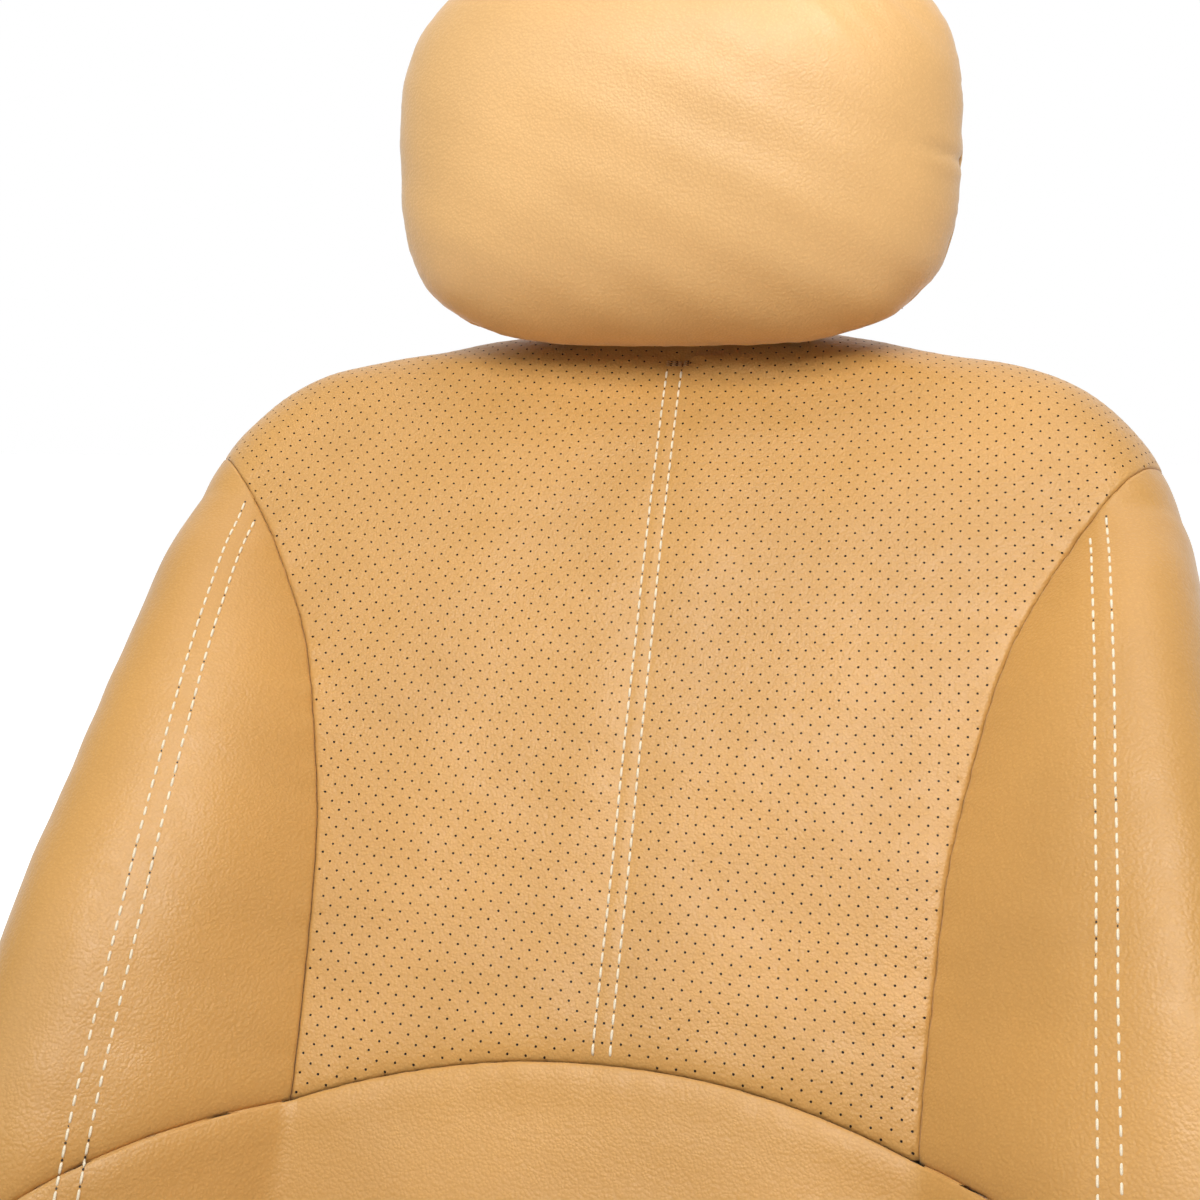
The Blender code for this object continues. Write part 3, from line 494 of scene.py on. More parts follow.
def leatherette(name, colour, grain=1.0):
    """Tan leatherette: fine pebbles with painted shade in the valleys between them, faint creases,
    slow changes of tone and gloss.
    """
    mat, tree, shader = new_material(name, 0.46, Coat_Weight=0.06, Coat_Roughness=0.35,
                                     Sheen_Weight=0.12, Sheen_Roughness=0.45)
    coords = tree.nodes.new("ShaderNodeTexCoord")
    pebbles = tree.nodes.new("ShaderNodeTexVoronoi")
    pebbles.feature = "SMOOTH_F1"
    pebbles.inputs["Scale"].default_value = 720
    pebbles.inputs["Smoothness"].default_value = 0.35
    warp = noise(tree, coords, 260, 2.0)
    shift = tree.nodes.new("ShaderNodeVectorMath")
    shift.operation = "MULTIPLY_ADD"
    shift.inputs[1].default_value = (0.0016, 0.0016, 0.0016)
    tree.links.new(warp.outputs["Color"], shift.inputs[0])
    tree.links.new(coords.outputs["Object"], shift.inputs[2])
    tree.links.new(shift.outputs[0], pebbles.inputs["Vector"])
    fine = noise(tree, coords, 1900, 3.0, 0.6)
    creases = noise(tree, coords, 95, 5.0, 0.62)
    slow = noise(tree, coords, 9, 2.0)
    tones = [tuple(c * 0.93 for c in colour), tuple(min(c * 1.05, 1) for c in colour)]
    tone = toned(tree, slow.outputs["Fac"], 0.32, 0.68, tones)
    # The valleys between the pebbles are darkened: painted shade, following the grain's bump.
    painted_valley_shade = toned(tree, pebbles.outputs["Distance"], 0.05, 0.55, [(1, 1, 1), (0.86, 0.83, 0.79)])
    grained = mix_colour(tree, 0.55, tone, painted_valley_shade, "MULTIPLY")
    speck = toned(tree, fine.outputs["Fac"], 0.35, 0.65, [(0.90, 0.88, 0.86), (1, 1, 1)])
    tree.links.new(mix_colour(tree, 0.5, grained, speck, "MULTIPLY"), shader.inputs["Base Color"])
    mapped(tree, creases.outputs["Fac"], shader.inputs["Roughness"], (0.3, 0.7), (0.40, 0.54))
    invert = tree.nodes.new("ShaderNodeMath")
    invert.operation = "SUBTRACT"
    invert.inputs[0].default_value = 1.0
    tree.links.new(pebbles.outputs["Distance"], invert.inputs[1])
    heights = [(creases.outputs["Fac"], 0.22 * grain), (invert.outputs[0], 0.34 * grain),
               (fine.outputs["Fac"], 0.10 * grain)]
    add_bump(tree, shader, heights, 0.0006)
    return mat


def woven(name, colour, thread_mm, gap_shade=0.35, roughness=0.85):
    """A woven or knitted cloth: two crossed waves of thread, with painted shade between the threads.
    """
    mat, tree, shader = new_material(name, roughness, Sheen_Weight=0.25, Sheen_Roughness=0.5)
    coords = tree.nodes.new("ShaderNodeTexCoord")
    heights = []
    for axis in ("X", "Z"):
        wave = tree.nodes.new("ShaderNodeTexWave")
        wave.bands_direction = axis
        wave.inputs["Scale"].default_value = 1000 / thread_mm / 20 * math.pi
        wave.inputs["Distortion"].default_value = 1.2
        wave.inputs["Detail"].default_value = 1.0
        wave.inputs["Detail Scale"].default_value = 4.0
        tree.links.new(coords.outputs["Object"], wave.inputs["Vector"])
        heights.append(wave)
    both = tree.nodes.new("ShaderNodeMath")
    both.operation = "MULTIPLY"
    tree.links.new(heights[0].outputs["Fac"], both.inputs[0])
    tree.links.new(heights[1].outputs["Fac"], both.inputs[1])
    fibres = noise(tree, coords, 700, 3.0, 0.7)
    slow = noise(tree, coords, 14, 2.0)
    # The low parts of the weave, between the threads, are darkened: painted shade.
    dark = tuple(c * (1 - gap_shade) for c in colour)
    tone = toned(tree, both.outputs[0], 0.0, 0.8, [dark, colour])
    fade = toned(tree, slow.outputs["Fac"], 0.3, 0.7, [(0.88, 0.88, 0.88), (1, 1, 1)])
    tree.links.new(mix_colour(tree, 1.0, tone, fade, "MULTIPLY"), shader.inputs["Base Color"])
    add_bump(tree, shader, [(both.outputs[0], 0.5), (fibres.outputs["Fac"], 0.3)], 0.0005)
    return mat


def fuzzy(name, colour):
    """Hook or loop tape: a fine dark pile."""
    mat, tree, shader = new_material(name, 0.9, Sheen_Weight=0.3, Sheen_Roughness=0.6)
    coords = tree.nodes.new("ShaderNodeTexCoord")
    pile = noise(tree, coords, 1500, 4.0, 0.75)
    tones = [tuple(c * 0.4 for c in colour), tuple(c * 1.6 for c in colour)]
    tree.links.new(toned(tree, pile.outputs["Fac"], 0.35, 0.7, tones), shader.inputs["Base Color"])
    add_bump(tree, shader, [(pile.outputs["Fac"], 0.8)], 0.0008)
    return mat


def thread_material(name, colour):
    mat, tree, shader = new_material(name, 0.55, Sheen_Weight=0.2, Sheen_Roughness=0.4)
    coords = tree.nodes.new("ShaderNodeTexCoord")
    ply = noise(tree, coords, 2600, 2.0)
    tones = [tuple(c * 0.72 for c in colour), colour]
    tree.links.new(toned(tree, ply.outputs["Fac"], 0.3, 0.7, tones), shader.inputs["Base Color"])
    add_bump(tree, shader, [(ply.outputs["Fac"], 0.4)], 0.0003)
    return mat


def plated(name, colour):
    mat, tree, shader = new_material(name, 0.3, 1.0)
    coords = tree.nodes.new("ShaderNodeTexCoord")
    marks = noise(tree, coords, 420, 5.0, 0.65)
    tones = [tuple(c * 0.82 for c in colour), colour]
    tree.links.new(toned(tree, marks.outputs["Fac"], 0.3, 0.7, tones), shader.inputs["Base Color"])
    mapped(tree, marks.outputs["Fac"], shader.inputs["Roughness"], (0, 1), (0.22, 0.42))
    add_bump(tree, shader, [(marks.outputs["Fac"], 0.12)], 0.0003)
    return mat


TAN = (0.565, 0.302, 0.083)
LEATHER = leatherette("tan_leatherette", TAN)
# The headrest's copy of the tan leatherette is paler than the rest: painted light, for the brighter
# light that falls on the headrest.
LEATHER_HEAD_PAINTED_LIGHTER = leatherette("tan_leatherette_headrest_painted_lighter", (0.68, 0.41, 0.168), 0.9)
BACKING = woven("foam_backing_scrim", (0.55, 0.52, 0.47), 1.6, 0.2)
KNIT = woven("tan_knit", (0.50, 0.28, 0.115), 2.2)
WEBBING = woven("black_webbing", (0.022, 0.021, 0.020), 1.8, 0.5)
PILE = fuzzy("black_hook_and_loop", (0.018, 0.018, 0.018))
THREAD_IVORY = thread_material("ivory_thread", (0.90, 0.80, 0.62))
THREAD_TAN = thread_material("tan_thread", (0.50, 0.27, 0.10))
STEEL = plated("zinc_plated_steel", (0.62, 0.62, 0.64))
# Near-black for the walls and floors of the perforations and for the needle holes: painted shade
# inside the holes.
PAINTED_HOLE_SHADE = thread_material("needle_and_punch_holes_painted_shade", (0.030, 0.014, 0.006))


# ---- building meshes ----
def make_mesh(name, verts, faces, mats, face_mats=None):
    mesh = bpy.data.meshes.new(name)
    mesh.from_pydata([tuple(v) for v in (np.asarray(verts) * MM).tolist()], [], faces)
    for mat in mats:
        mesh.materials.append(mat)
    if face_mats is not None:
        mesh.polygons.foreach_set("material_index", np.asarray(face_mats, np.int32))
    mesh.update()
    thing = bpy.data.objects.new(name, mesh)
    bpy.context.scene.collection.objects.link(thing)
    return thing


def face_out(thing):
    """Turns every face of a closed mesh outwards."""
    bm = bmesh.new()
    bm.from_mesh(thing.data)
    bmesh.ops.recalc_face_normals(bm, faces=bm.faces)
    bm.to_mesh(thing.data)
    bm.free()
    return thing


def smooth(thing, angle=50):
    thing.data.shade_smooth()
    thing.data.set_sharp_from_angle(angle=math.radians(angle))
    return thing


def perimeter(grid):
    """The edge of a grid of points, as a closed dense line, with its arc length."""
    ring = np.concatenate([grid[0], grid[1:, -1], grid[-1, -2::-1], grid[-2:0:-1, 0]])
    return resample(np.concatenate([ring, ring[:1]]), 4 * len(ring))


def edge_distance(points, ring):
    tree = tree_of(ring)
    near, distance = find_all(tree, points)
    spacing = np.linalg.norm(np.diff(ring, axis=0), axis=1).mean()
    return distance, near * spacing


def spread(count, length, fine=True):
    """Places from 0 to 1, closer together near the ends where the panel's edge turns in."""
    if not fine:
        return np.linspace(0, 1, count + 1)
    close = np.array([0, 0.25, 0.6, 1.05, 1.6, 2.4, 3.6, 5.2]) / length
    middle = np.linspace(close[-1], 1 - close[-1], count - 2 * len(close) + 3)
    return np.concatenate([close[:-1], middle, (1 - close[:-1])[::-1]])


def grid_sheet(name, place, across, up, size, relief=None, mats=None, seed=1, thick=SHEET,
               pucker=0.3, roll=True, level=0.25, normals=None):
    """A panel from place(u, v), which gives points in space, with its sewn relief and thickness.

    size is about how wide and how long the panel is; relief(u, v, points) adds height.
    """
    u, v = np.meshgrid(spread(across, size[0]), spread(up, size[1]))
    points = place(u.ravel(), v.ravel())
    grid = points.reshape(*u.shape, 3)
    du = np.gradient(grid, axis=1)
    dv = np.gradient(grid, axis=0)
    normal = np.cross(du, dv)
    normal /= np.maximum(np.linalg.norm(normal, axis=2, keepdims=True), 1e-9)
    normal = normal.reshape(-1, 3)
    if normals is not None:
        normal = normals(u.ravel(), v.ravel())
    distance, arc = edge_distance(points, perimeter(grid))
    height = level * ripple(points, 40, seed) + 0.4 * level * ripple(points, 17, seed + 3)
    if roll:
        height = height + seam_relief(distance, arc, seed + 5, pucker)
    if relief is not None:
        height = height + relief(u.ravel(), v.ravel(), points)
    points = points + normal * height[:, None]
    rows, columns = u.shape
    corners = [r * columns + c for r in range(rows - 1) for c in range(columns - 1)]
    faces = [(k, k + 1, k + columns + 1, k + columns) for k in corners]
    thing = make_mesh(name, points, faces, mats or (LEATHER, BACKING))
    smooth(thing, 60)
    solid = thing.modifiers.new("thickness", "SOLIDIFY")
    solid.thickness = thick * MM
    solid.offset = -1
    solid.material_offset = 1
    return thing


def triangulate(points, loops):
    """Triangles over flat points, inside the first loop, keeping every loop's edges."""
    edges = [(a, b) for loop in loops for a, b in zip(loop, loop[1:] + loop[:1])]
    flat = [Vector(p) for p in points.tolist()]
    _, _, faces, origin, _, _ = delaunay_2d_cdt(flat, edges, [], 1, 1e-7)
    back = [min(o) if o else -1 for o in origin]
    kept = [tuple(back[k] for k in face) for face in faces]
    return [f for f in kept if min(f) >= 0]


def inside_of(outline, points):
    """Which points lie inside the outline, by the even-odd rule."""
    inside = np.zeros(len(points), bool)
    x, y = points.T
    for (ax, ay), (bx, by) in zip(outline, np.roll(outline, -1, axis=0)):
        crosses = (ay > y) != (by > y)
        with np.errstate(divide="ignore", invalid="ignore"):
            inside ^= crosses & (x < (bx - ax) * (y - ay) / (by - ay) + ax)
    return inside


def clear_of(openings, points, margin=0.0):
    """Which points lie outside every round opening, by more than the margin."""
    keep = np.ones(len(points), bool)
    for centre, radius in openings:
        keep &= np.linalg.norm(points - centre, axis=1) > radius + margin
    return keep


def turned(triangles, flat, up):
    """The triangles, with those that face the wrong way turned over."""
    a, b, c = (flat[triangles[:, k]] for k in range(3))
    wrong = np.cross(b - a, c - a) * up < 0
    triangles[wrong] = triangles[wrong][:, ::-1]
    return triangles


def chart_normal(wrap, flat, e=2.5):
    dx = wrap(flat + (e, 0)) - wrap(flat - (e, 0))
    ds = wrap(flat + (0, e)) - wrap(flat - (0, e))
    n = np.cross(dx, ds)
    return n / np.linalg.norm(n, axis=1, keepdims=True)


def cut_sheet(name, outline, wrap, relief, seed, rows=(), openings=(), punched=True,
              mats=None, pucker=0.3):
    """A panel of any outline, cut flat and wrapped; a punched one is pitted with perforations."""
    outline = resample(np.concatenate([outline, outline[:1]]), int(len(outline)))[:-1]
    ring_line = resample(np.concatenate([outline, outline[:1]]), 6 * len(outline))[:-1]
    tree = tree_of(ring_line)
    lo, hi = outline.min(axis=0), outline.max(axis=0)
    half = HOLE_PITCH / 2
    js = np.arange(math.floor(lo[1] / half), math.ceil(hi[1] / half) + 1)
    cells = np.array([(i * HOLE_PITCH + (j % 2) * half, j * half)
                      for j in js for i in range(math.floor(lo[0] / HOLE_PITCH) - 1,
                                                 math.ceil(hi[0] / HOLE_PITCH) + 1)])
    slots = [(np.array(c), r) for c, r in openings]

    def clear(points, edge, row_gap):
        keep = inside_of(outline, points)
        points = points[keep]
        points = points[find_all(tree, points)[1] > edge]
        for x in rows:
            points = points[np.abs(points[:, 0] - x) > row_gap]
        return points[clear_of(slots, points, edge)]

    centres = clear(cells, 1.3, 1.2) if punched else np.empty((0, 2))
    fill = clear(cells + (half, 0), 5.2, 1.4)
    turns = 2 * math.pi * np.arange(HOLE_SIDES) / HOLE_SIDES
    octagon = np.stack([np.cos(turns), np.sin(turns)], axis=1) * HOLE_RADIUS
    t = np.roll(outline, -1, axis=0) - np.roll(outline, 1, axis=0)
    n = np.stack([-t[:, 1], t[:, 0]], axis=1) / np.linalg.norm(t, axis=1, keepdims=True)
    extra = []
    for away in (0.3, 0.7, 1.2, 1.9, 3.0, 4.3):
        ring = outline + n * away
        ring = ring[inside_of(outline, ring)]
        extra.append(ring[find_all(tree, ring)[1] > 0.93 * away])
    for x in rows:
        for off in (-1.3, 0, 1.3):
            y = np.arange(lo[1] + 3, hi[1] - 3, 2.6)
            strip = np.stack([np.full_like(y, x + off), y], axis=1)
            strip = strip[inside_of(outline, strip)]
            extra.append(strip[find_all(tree, strip)[1] > 4.6])
    extra = np.concatenate([fill, *extra])
    hole_tree = tree_of(centres if punched else np.array([(1e4, 1e4)]))
    extra = extra[find_all(hole_tree, extra)[1] > HOLE_RADIUS + 0.35]
    loops = [list(range(len(outline)))]
    flats = [outline]
    total = len(outline)
    slot_rings = []
    for centre, radius in slots:
        a = np.linspace(0, 2 * math.pi, 29)[:-1]
        ring = centre + np.stack([np.cos(a), np.sin(a)], axis=1) * radius
        slot_rings.append(list(range(total, total + len(ring))))
        loops.append(slot_rings[-1])
        flats.append(ring)
        total += len(ring)
    holes = (centres[:, None, :] + octagon[None]).reshape(-1, 2)
    first = total
    flats += [holes, extra]
    flat = np.concatenate(flats)
    starts = [first + k * HOLE_SIDES for k in range(len(centres))]
    loops += [list(range(start, start + HOLE_SIDES)) for start in starts]
    triangles = triangulate(flat, loops)
    corner = np.array(triangles)
    middle = flat[corner].mean(axis=1)
    keep = find_all(hole_tree, middle)[1] > HOLE_RADIUS * 0.9
    triangles = turned(corner[keep & clear_of(slots, middle)], flat, 1)

    normal = chart_normal(wrap, flat, 4.0)
    base = wrap(flat)
    where, distance = find_all(tree, flat)
    spacing = np.linalg.norm(np.diff(ring_line, axis=0), axis=1).mean()
    height = relief(flat) + seam_relief(distance, where * spacing, seed, pucker)
    top = base + normal * height[:, None]
    hole_slice = slice(first, first + len(holes))
    top[hole_slice] -= normal[hole_slice] * 0.10
    floor_ring = (top[hole_slice] - normal[hole_slice] * HOLE_DEPTH).reshape(-1, HOLE_SIDES, 3)
    middle3 = floor_ring.mean(axis=1, keepdims=True)
    floor_ring = (middle3 + (floor_ring - middle3) * 0.85).reshape(-1, 3)
    # the plain inner side
    coarse = [(x, y) for x in np.arange(lo[0], hi[0], 11) for y in np.arange(lo[1], hi[1], 11)]
    coarse = clear(np.array(coarse), 5, 0)
    inner_flat = np.concatenate([outline, *[flat[r] for r in slot_rings], coarse])
    inner_loops = [list(range(len(outline)))] + slot_rings
    inner_triangles = np.array(triangulate(inner_flat, inner_loops))
    keep = clear_of(slots, inner_flat[inner_triangles].mean(axis=1))
    inner_triangles = turned(inner_triangles[keep], inner_flat, -1)
    inner_normal = chart_normal(wrap, inner_flat)
    inner_height = relief(inner_flat)
    inner_height -= edge_roll(find_all(tree, inner_flat)[1])
    inner = wrap(inner_flat) + inner_normal * (inner_height - SHEET)[:, None]

    verts = np.concatenate([top, floor_ring, inner])
    floor_at, inner_at = len(top), len(top) + len(floor_ring)
    faces = [tuple(f) for f in triangles.tolist()]
    kinds = [0] * len(faces)
    # The walls and floor of each perforation take the near-black third material: painted shade in
    # the holes.
    for k in range(len(centres)):
        ring = loops[1 + len(slots) + k]
        low = [floor_at + k * HOLE_SIDES + m for m in range(HOLE_SIDES)]
        for m in range(HOLE_SIDES):
            n2 = (m + 1) % HOLE_SIDES
            faces.append((ring[n2], ring[m], low[m], low[n2]))
            kinds.append(2)
        faces.append(tuple(low))
        kinds.append(2)
    faces += [tuple(int(k) + inner_at for k in f) for f in inner_triangles]
    kinds += [1] * len(inner_triangles)
    for ring in [list(range(len(outline)))] + slot_rings:
        for m in range(len(ring)):
            p, q = ring[m], ring[(m + 1) % len(ring)]
            faces.append((p, q, q + inner_at, p + inner_at))
            kinds.append(0)
    thing = make_mesh(name, verts, faces, mats or (LEATHER, BACKING, PAINTED_HOLE_SHADE), kinds)
    return smooth(face_out(thing), 50)


def stitch_along(path, pitch=STITCH_PITCH, lift=0.30, radius=THREAD, sides=6):
    """Stitches along points with normals: threads that dive into a needle hole at each end, which is
    painted near-black as shade.
    """
    points, normals = path
    length = np.concatenate([[0], np.cumsum(np.linalg.norm(np.diff(points, axis=0), axis=1))])
    share = np.linspace(-1, 1, 7)
    turns = 2 * math.pi * np.arange(sides) / sides
    verts, faces, kinds = [], [], []

    def frame_at(at):
        p = np.stack([np.interp(at, length, points[:, j]) for j in range(3)], axis=1)
        n = np.stack([np.interp(at, length, normals[:, j]) for j in range(3)], axis=1)
        t = np.gradient(p, axis=0)
        t /= np.linalg.norm(t, axis=1, keepdims=True)
        b = np.cross(t, n)
        b /= np.linalg.norm(b, axis=1, keepdims=True)
        return p, t, b, np.cross(b, t)

    def add_rings(rings, kind):
        base, count = len(verts), len(rings)
        for ring in rings:
            verts.extend(ring)
        for m in range(count - 1):
            for a in range(sides):
                c = (a + 1) % sides
                faces.append((base + m * sides + a, base + m * sides + c,
                              base + (m + 1) * sides + c, base + (m + 1) * sides + a))
        faces.append(tuple(base + a for a in range(sides))[::-1])
        faces.append(tuple(base + (count - 1) * sides + a for a in range(sides)))
        kinds.extend([kind] * ((count - 1) * sides + 2))

    for k in range(max(int(length[-1] // pitch), 1)):
        middle = (k + 0.5) * pitch
        p, t, b, n = frame_at(middle + share * STITCH_COVER * pitch / 2)
        height = lift * (1 - share**4) - 0.9 * radius * share**6
        width = radius * (1 - 0.45 * np.abs(share) ** 3)
        add_rings([p[m] + np.outer(np.sin(turns), n[m]) * width[m] + n[m] * height[m]
                   + np.outer(np.cos(turns), b[m]) * width[m] for m in range(7)], 0)
        # A near-black disc at each needle hole: painted shade.
        needle = min((k + 1) * pitch, length[-1] - 0.25)
        p, t, b, n = frame_at(np.array([-0.2, 0, 0.2]) + needle)
        dot = np.outer(np.cos(turns), b[1]) * 0.55 + np.outer(np.sin(turns), t[1]) * 0.62
        add_rings([p[1] - n[1] * 0.3 + dot, p[1] + n[1] * 0.07 + dot * 0.9], 1)
    return verts, faces, kinds


def stitching(name, body, paths, mat=None, **options):
    """One piece of thread work along one or more paths."""
    verts, faces, kinds = [], [], []
    for path in paths:
        more, around, kind = stitch_along(path, **options)
        faces += [tuple(k + len(verts) for k in face) for face in around]
        verts += more
        kinds += kind
    thing = make_mesh(name, np.array(verts), faces, (mat or THREAD_IVORY, PAINTED_HOLE_SHADE), kinds)
    return finish_piece(smooth(face_out(thing), 70), body, [])


def sweep(name, route, ways, ups, profile, mats):
    """A closed profile of (out, up) points carried along a route, with flat ends."""
    rings = [route[k] + np.outer(profile[:, 0], ways[k]) + np.outer(profile[:, 1], ups[k])
             for k in range(len(route))]
    count = len(profile)
    faces = [(m * count + a, m * count + (a + 1) % count, (m + 1) * count + (a + 1) % count,
              (m + 1) * count + a) for m in range(len(route) - 1) for a in range(count)]
    faces.append(tuple(range(count)))
    faces.append(tuple((len(route) - 1) * count + a for a in range(count)))
    return face_out(make_mesh(name, np.concatenate(rings), faces, mats))


def wire(name, points, radius, mat, side=(1, 0, 0)):
    """A round wire through the points, with its ends rounded off."""
    route = resample(points, 90)
    t = np.gradient(route, axis=0)
    t /= np.linalg.norm(t, axis=1, keepdims=True)
    way = np.cross(t, side)
    way[np.linalg.norm(way, axis=1) < 0.5] = (0, 0, 1)
    way /= np.linalg.norm(way, axis=1, keepdims=True)
    up = np.cross(t, way)
    turns = np.linspace(0, 2 * math.pi, 15)[:-1]
    from_end = np.minimum(np.arange(90), np.arange(90)[::-1])
    size = radius * np.sqrt(1 - (1 - np.clip(from_end / 2, 0, 0.98)) ** 2)
    rings = [route[k] + np.outer(np.cos(turns), way[k]) * size[k]
             + np.outer(np.sin(turns), up[k]) * size[k] for k in range(90)]
    faces = [(m * 14 + a, m * 14 + (a + 1) % 14, (m + 1) * 14 + (a + 1) % 14, (m + 1) * 14 + a)
             for m in range(89) for a in range(14)]
    faces += [tuple(range(14)), tuple(89 * 14 + a for a in range(14))]
    return smooth(face_out(make_mesh(name, np.concatenate(rings), faces, (mat,))), 60)


def finish_piece(thing, body, nodes):
    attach(thing, body)
    if nodes:
        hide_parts(*nodes)
    return thing


def spans(grid_points):
    """Width, length and area, in millimetres, of a panel's modelled surface in space."""
    rows = np.linalg.norm(np.diff(grid_points, axis=1), axis=2)
    columns = np.linalg.norm(np.diff(grid_points, axis=0), axis=2)
    low, high = grid_points[:-1], grid_points[1:]
    a = np.cross(high[:, :-1] - low[:, :-1], low[:, 1:] - low[:, :-1])
    b = np.cross(high[:, :-1] - high[:, 1:], low[:, 1:] - high[:, 1:])
    area = (np.linalg.norm(a, axis=2).sum() + np.linalg.norm(b, axis=2).sum()) / 2
    return rows.sum(axis=1).max(), columns.sum(axis=0).max(), area


def panel(name, body, place, across, up, slot="leatherette", wrap=None, **options):
    """A sewn grid panel in the place of the CAD node of its name."""
    if wrap is not None:
        flat_place = place

        def place(u, v):
            return wrap(flat_place(u, v))

        def normals(u, v):
            return chart_normal(wrap, flat_place(u, v), 4.0)
        options["normals"] = normals
    u, v = np.meshgrid(np.linspace(0, 1, 41), np.linspace(0, 1, 41))
    width, length, area = spans(place(u.ravel(), v.ravel()).reshape(41, 41, 3))
    thing = grid_sheet(name + "_sewn", place, across, up, (width, length), **options)
    area = min(max(area, 0.31 * width * length), width * length)
    return finish_piece(thing, body, [name])


BACK, HEAD, CUSHION = "backrest_cover", "headrest_cover", "cushion_cover"


# ---- backrest ----
def chart_relief(flat_place):
    def relief(u, v, points):
        return front_relief(flat_place(u, v))
    return relief


def backrest_front():
    rim = INNER + OUTWARD * RIM_SEAM
    right_half = len(INNER) // 2
    corner = right_half + nearest(rim[right_half:], (258, 302))
    rows = np.arange(right_half, len(INNER))
    arch = int(rows[np.argmin(np.abs(rim[rows, 1] - arch_s(rim[rows, 0])))])
    low = int(rows[np.argmin(np.abs(INNER[rows, 1] - BACK_LOW))])
    last = len(INNER) - 1
    edge = INNER + OUTWARD * (RIM_SEAM - SEAM_GAP)
    seam = smooth_curve((*SIDE_SEAM, tuple(edge[corner])))
    centre_seam = inset(seam, (400, 100))
    outer_seam = inset(seam, (0, 100))
    neck = ease_ends(rim_line(RIM_SEAM - SEAM_GAP, last - corner, corner),
                     centre_seam[-1] * (-1, 1), centre_seam[-1])
    xs = np.linspace(-centre_seam[0][0], centre_seam[0][0], 105)
    bottom = np.stack([xs, arch_s(xs) + SEAM_GAP], axis=1)
    right_side = ease_ends(centre_seam, bottom[-1], neck[-1])
    outline = np.concatenate([bottom[:-1], right_side[:-1], neck[::-1][:-1],
                              (right_side * (-1, 1))[::-1][:-1]])
    outline = resample(np.concatenate([outline, outline[:1]]), 640)[:-1]
    beyond, radius = POST_SLIT
    slots = []
    for sign in (-1, 1):
        foot = INNER[nearest(INNER, (sign * POST_HALF_SPACING, INNER_OUTLINE[-1][1]))]
        slots.append(((foot[0], foot[1] + beyond), radius))
    centre = cut_sheet("backrest_center_panel_sewn", outline, back_front, front_relief, 31,
                       rows=(-TWIN, TWIN), openings=slots)
    finish_piece(centre, BACK, ["backrest_center_panel"])

    side_x = np.linspace(outer_seam[0][0], edge[arch][0], 9)
    outer = rim_line(RIM_SEAM - SEAM_GAP, corner + 14, arch - 3)[::-1]
    bolster = coons(np.stack([side_x, arch_s(side_x) + SEAM_GAP], axis=1),
                    line(outer_seam[-1], outer[-1]), outer_seam, outer)
    for side, flip in (("right", False), ("left", True)):
        flat_place = mirrored(bolster, flip)
        panel(f"backrest_{side}_bolster_panel", BACK, flat_place, 56, 120, wrap=back_front,
              relief=chart_relief(flat_place), seed=41 + flip, level=0.05)
    full_x = np.concatenate([-side_x[::-1], xs, side_x])
    right_edge = rim_line(RIM_SEAM - SEAM_GAP, arch + 3, low)[::-1]
    top = np.stack([full_x, arch_s(full_x) - SEAM_GAP], axis=1)
    top = resample(top, 200)
    foot_edge = line(right_edge[0] * (-1, 1), right_edge[0])
    lumbar = coons(foot_edge, top, right_edge * (-1, 1), right_edge)
    panel("backrest_lumbar_panel", BACK, lumbar, 150, 60, wrap=back_front,
          relief=chart_relief(lumbar), seed=47, pucker=0.35, level=0.05)
    backrest_rim(corner, low, last)
    return corner, low


def rim_place(first, last, start, end):
    at_all = np.linspace(first, last, 400)
    seam = at_index(INNER, at_all) + at_index(OUTWARD, at_all) * start
    travel = np.concatenate([[0], np.cumsum(np.linalg.norm(np.diff(seam, axis=0), axis=1))])

    def place(u, v):
        at = np.interp(u * travel[-1], travel, at_all)
        return at_index(INNER, at) + at_index(OUTWARD, at) * (start + v * (end - start))[:, None]
    return place


def backrest_rim(corner, low, last):
    half_turn = math.pi * RIM_RADIUS - SEAM_GAP
    start = RIM_SEAM + SEAM_GAP
    for name, first, final, seed in (
        ("backrest_right_side_panel", corner + 0.1, low, 51),
        ("backrest_left_side_panel", last - low, last - corner - 0.1, 52),
        ("backrest_rear_yoke", last - corner + 0.1, corner - 0.1, 53),
    ):
        panel(name, BACK, rim_place(first, final, start, half_turn), 120, 30, wrap=back_front,
              seed=seed, pucker=0.4)
    bottom_x = inner_x(BACK_LOW) - 0.6
    right = resample(INNER[corner:low + 1][::-1], 120) - (0.6, 0)
    top = resample(INNER[last - corner:corner + 1][::-1], 120) - (0, 0.6)
    rear = coons(line((bottom_x, BACK_LOW), (-bottom_x, BACK_LOW)), top, right, right * (-1, 1))
    panel("backrest_rear_panel", BACK, rear, 90, 100, "knit_backing", wrap=back_rear, seed=54,
          mats=(KNIT, BACKING), pucker=0.5, level=0.6)


def pouch(low, high, stand_off):
    def place(u, v):
        x, s = (1 - 2 * u) * POCKET_HALF, low + (high - low) * v
        inner = back_rear(np.stack([x, s], axis=-1))
        angle = lean(s)
        share = np.clip((s - POCKET[0]) / (POCKET[1] - POCKET[0]), 0, 1)
        away = stand_off + POCKET_BELLY * (1 - (x / POCKET_HALF) ** 2) * share
        return inner + np.stack([0 * x, np.cos(angle) * away, -np.sin(angle) * away], axis=-1)
    return place


def bottom_point(x, share, drop):
    s = np.full_like(x, BACK_LOW)
    front = front_rise(x, s)
    rear = x**2 / (2 * DISH_RADIUS) - 2 * RIM_RADIUS - REAR_CROWN * (1 - (x / inner_x(s)) ** 2)
    return back_point(x, s - drop, front + (rear - front) * share)


def foot_place(first, last, drops, half_width):
    def place(u, v):
        share = first + (last - first) * v
        return bottom_point((1 - 2 * u) * half_width, share, np.interp(share, *drops))
    return place


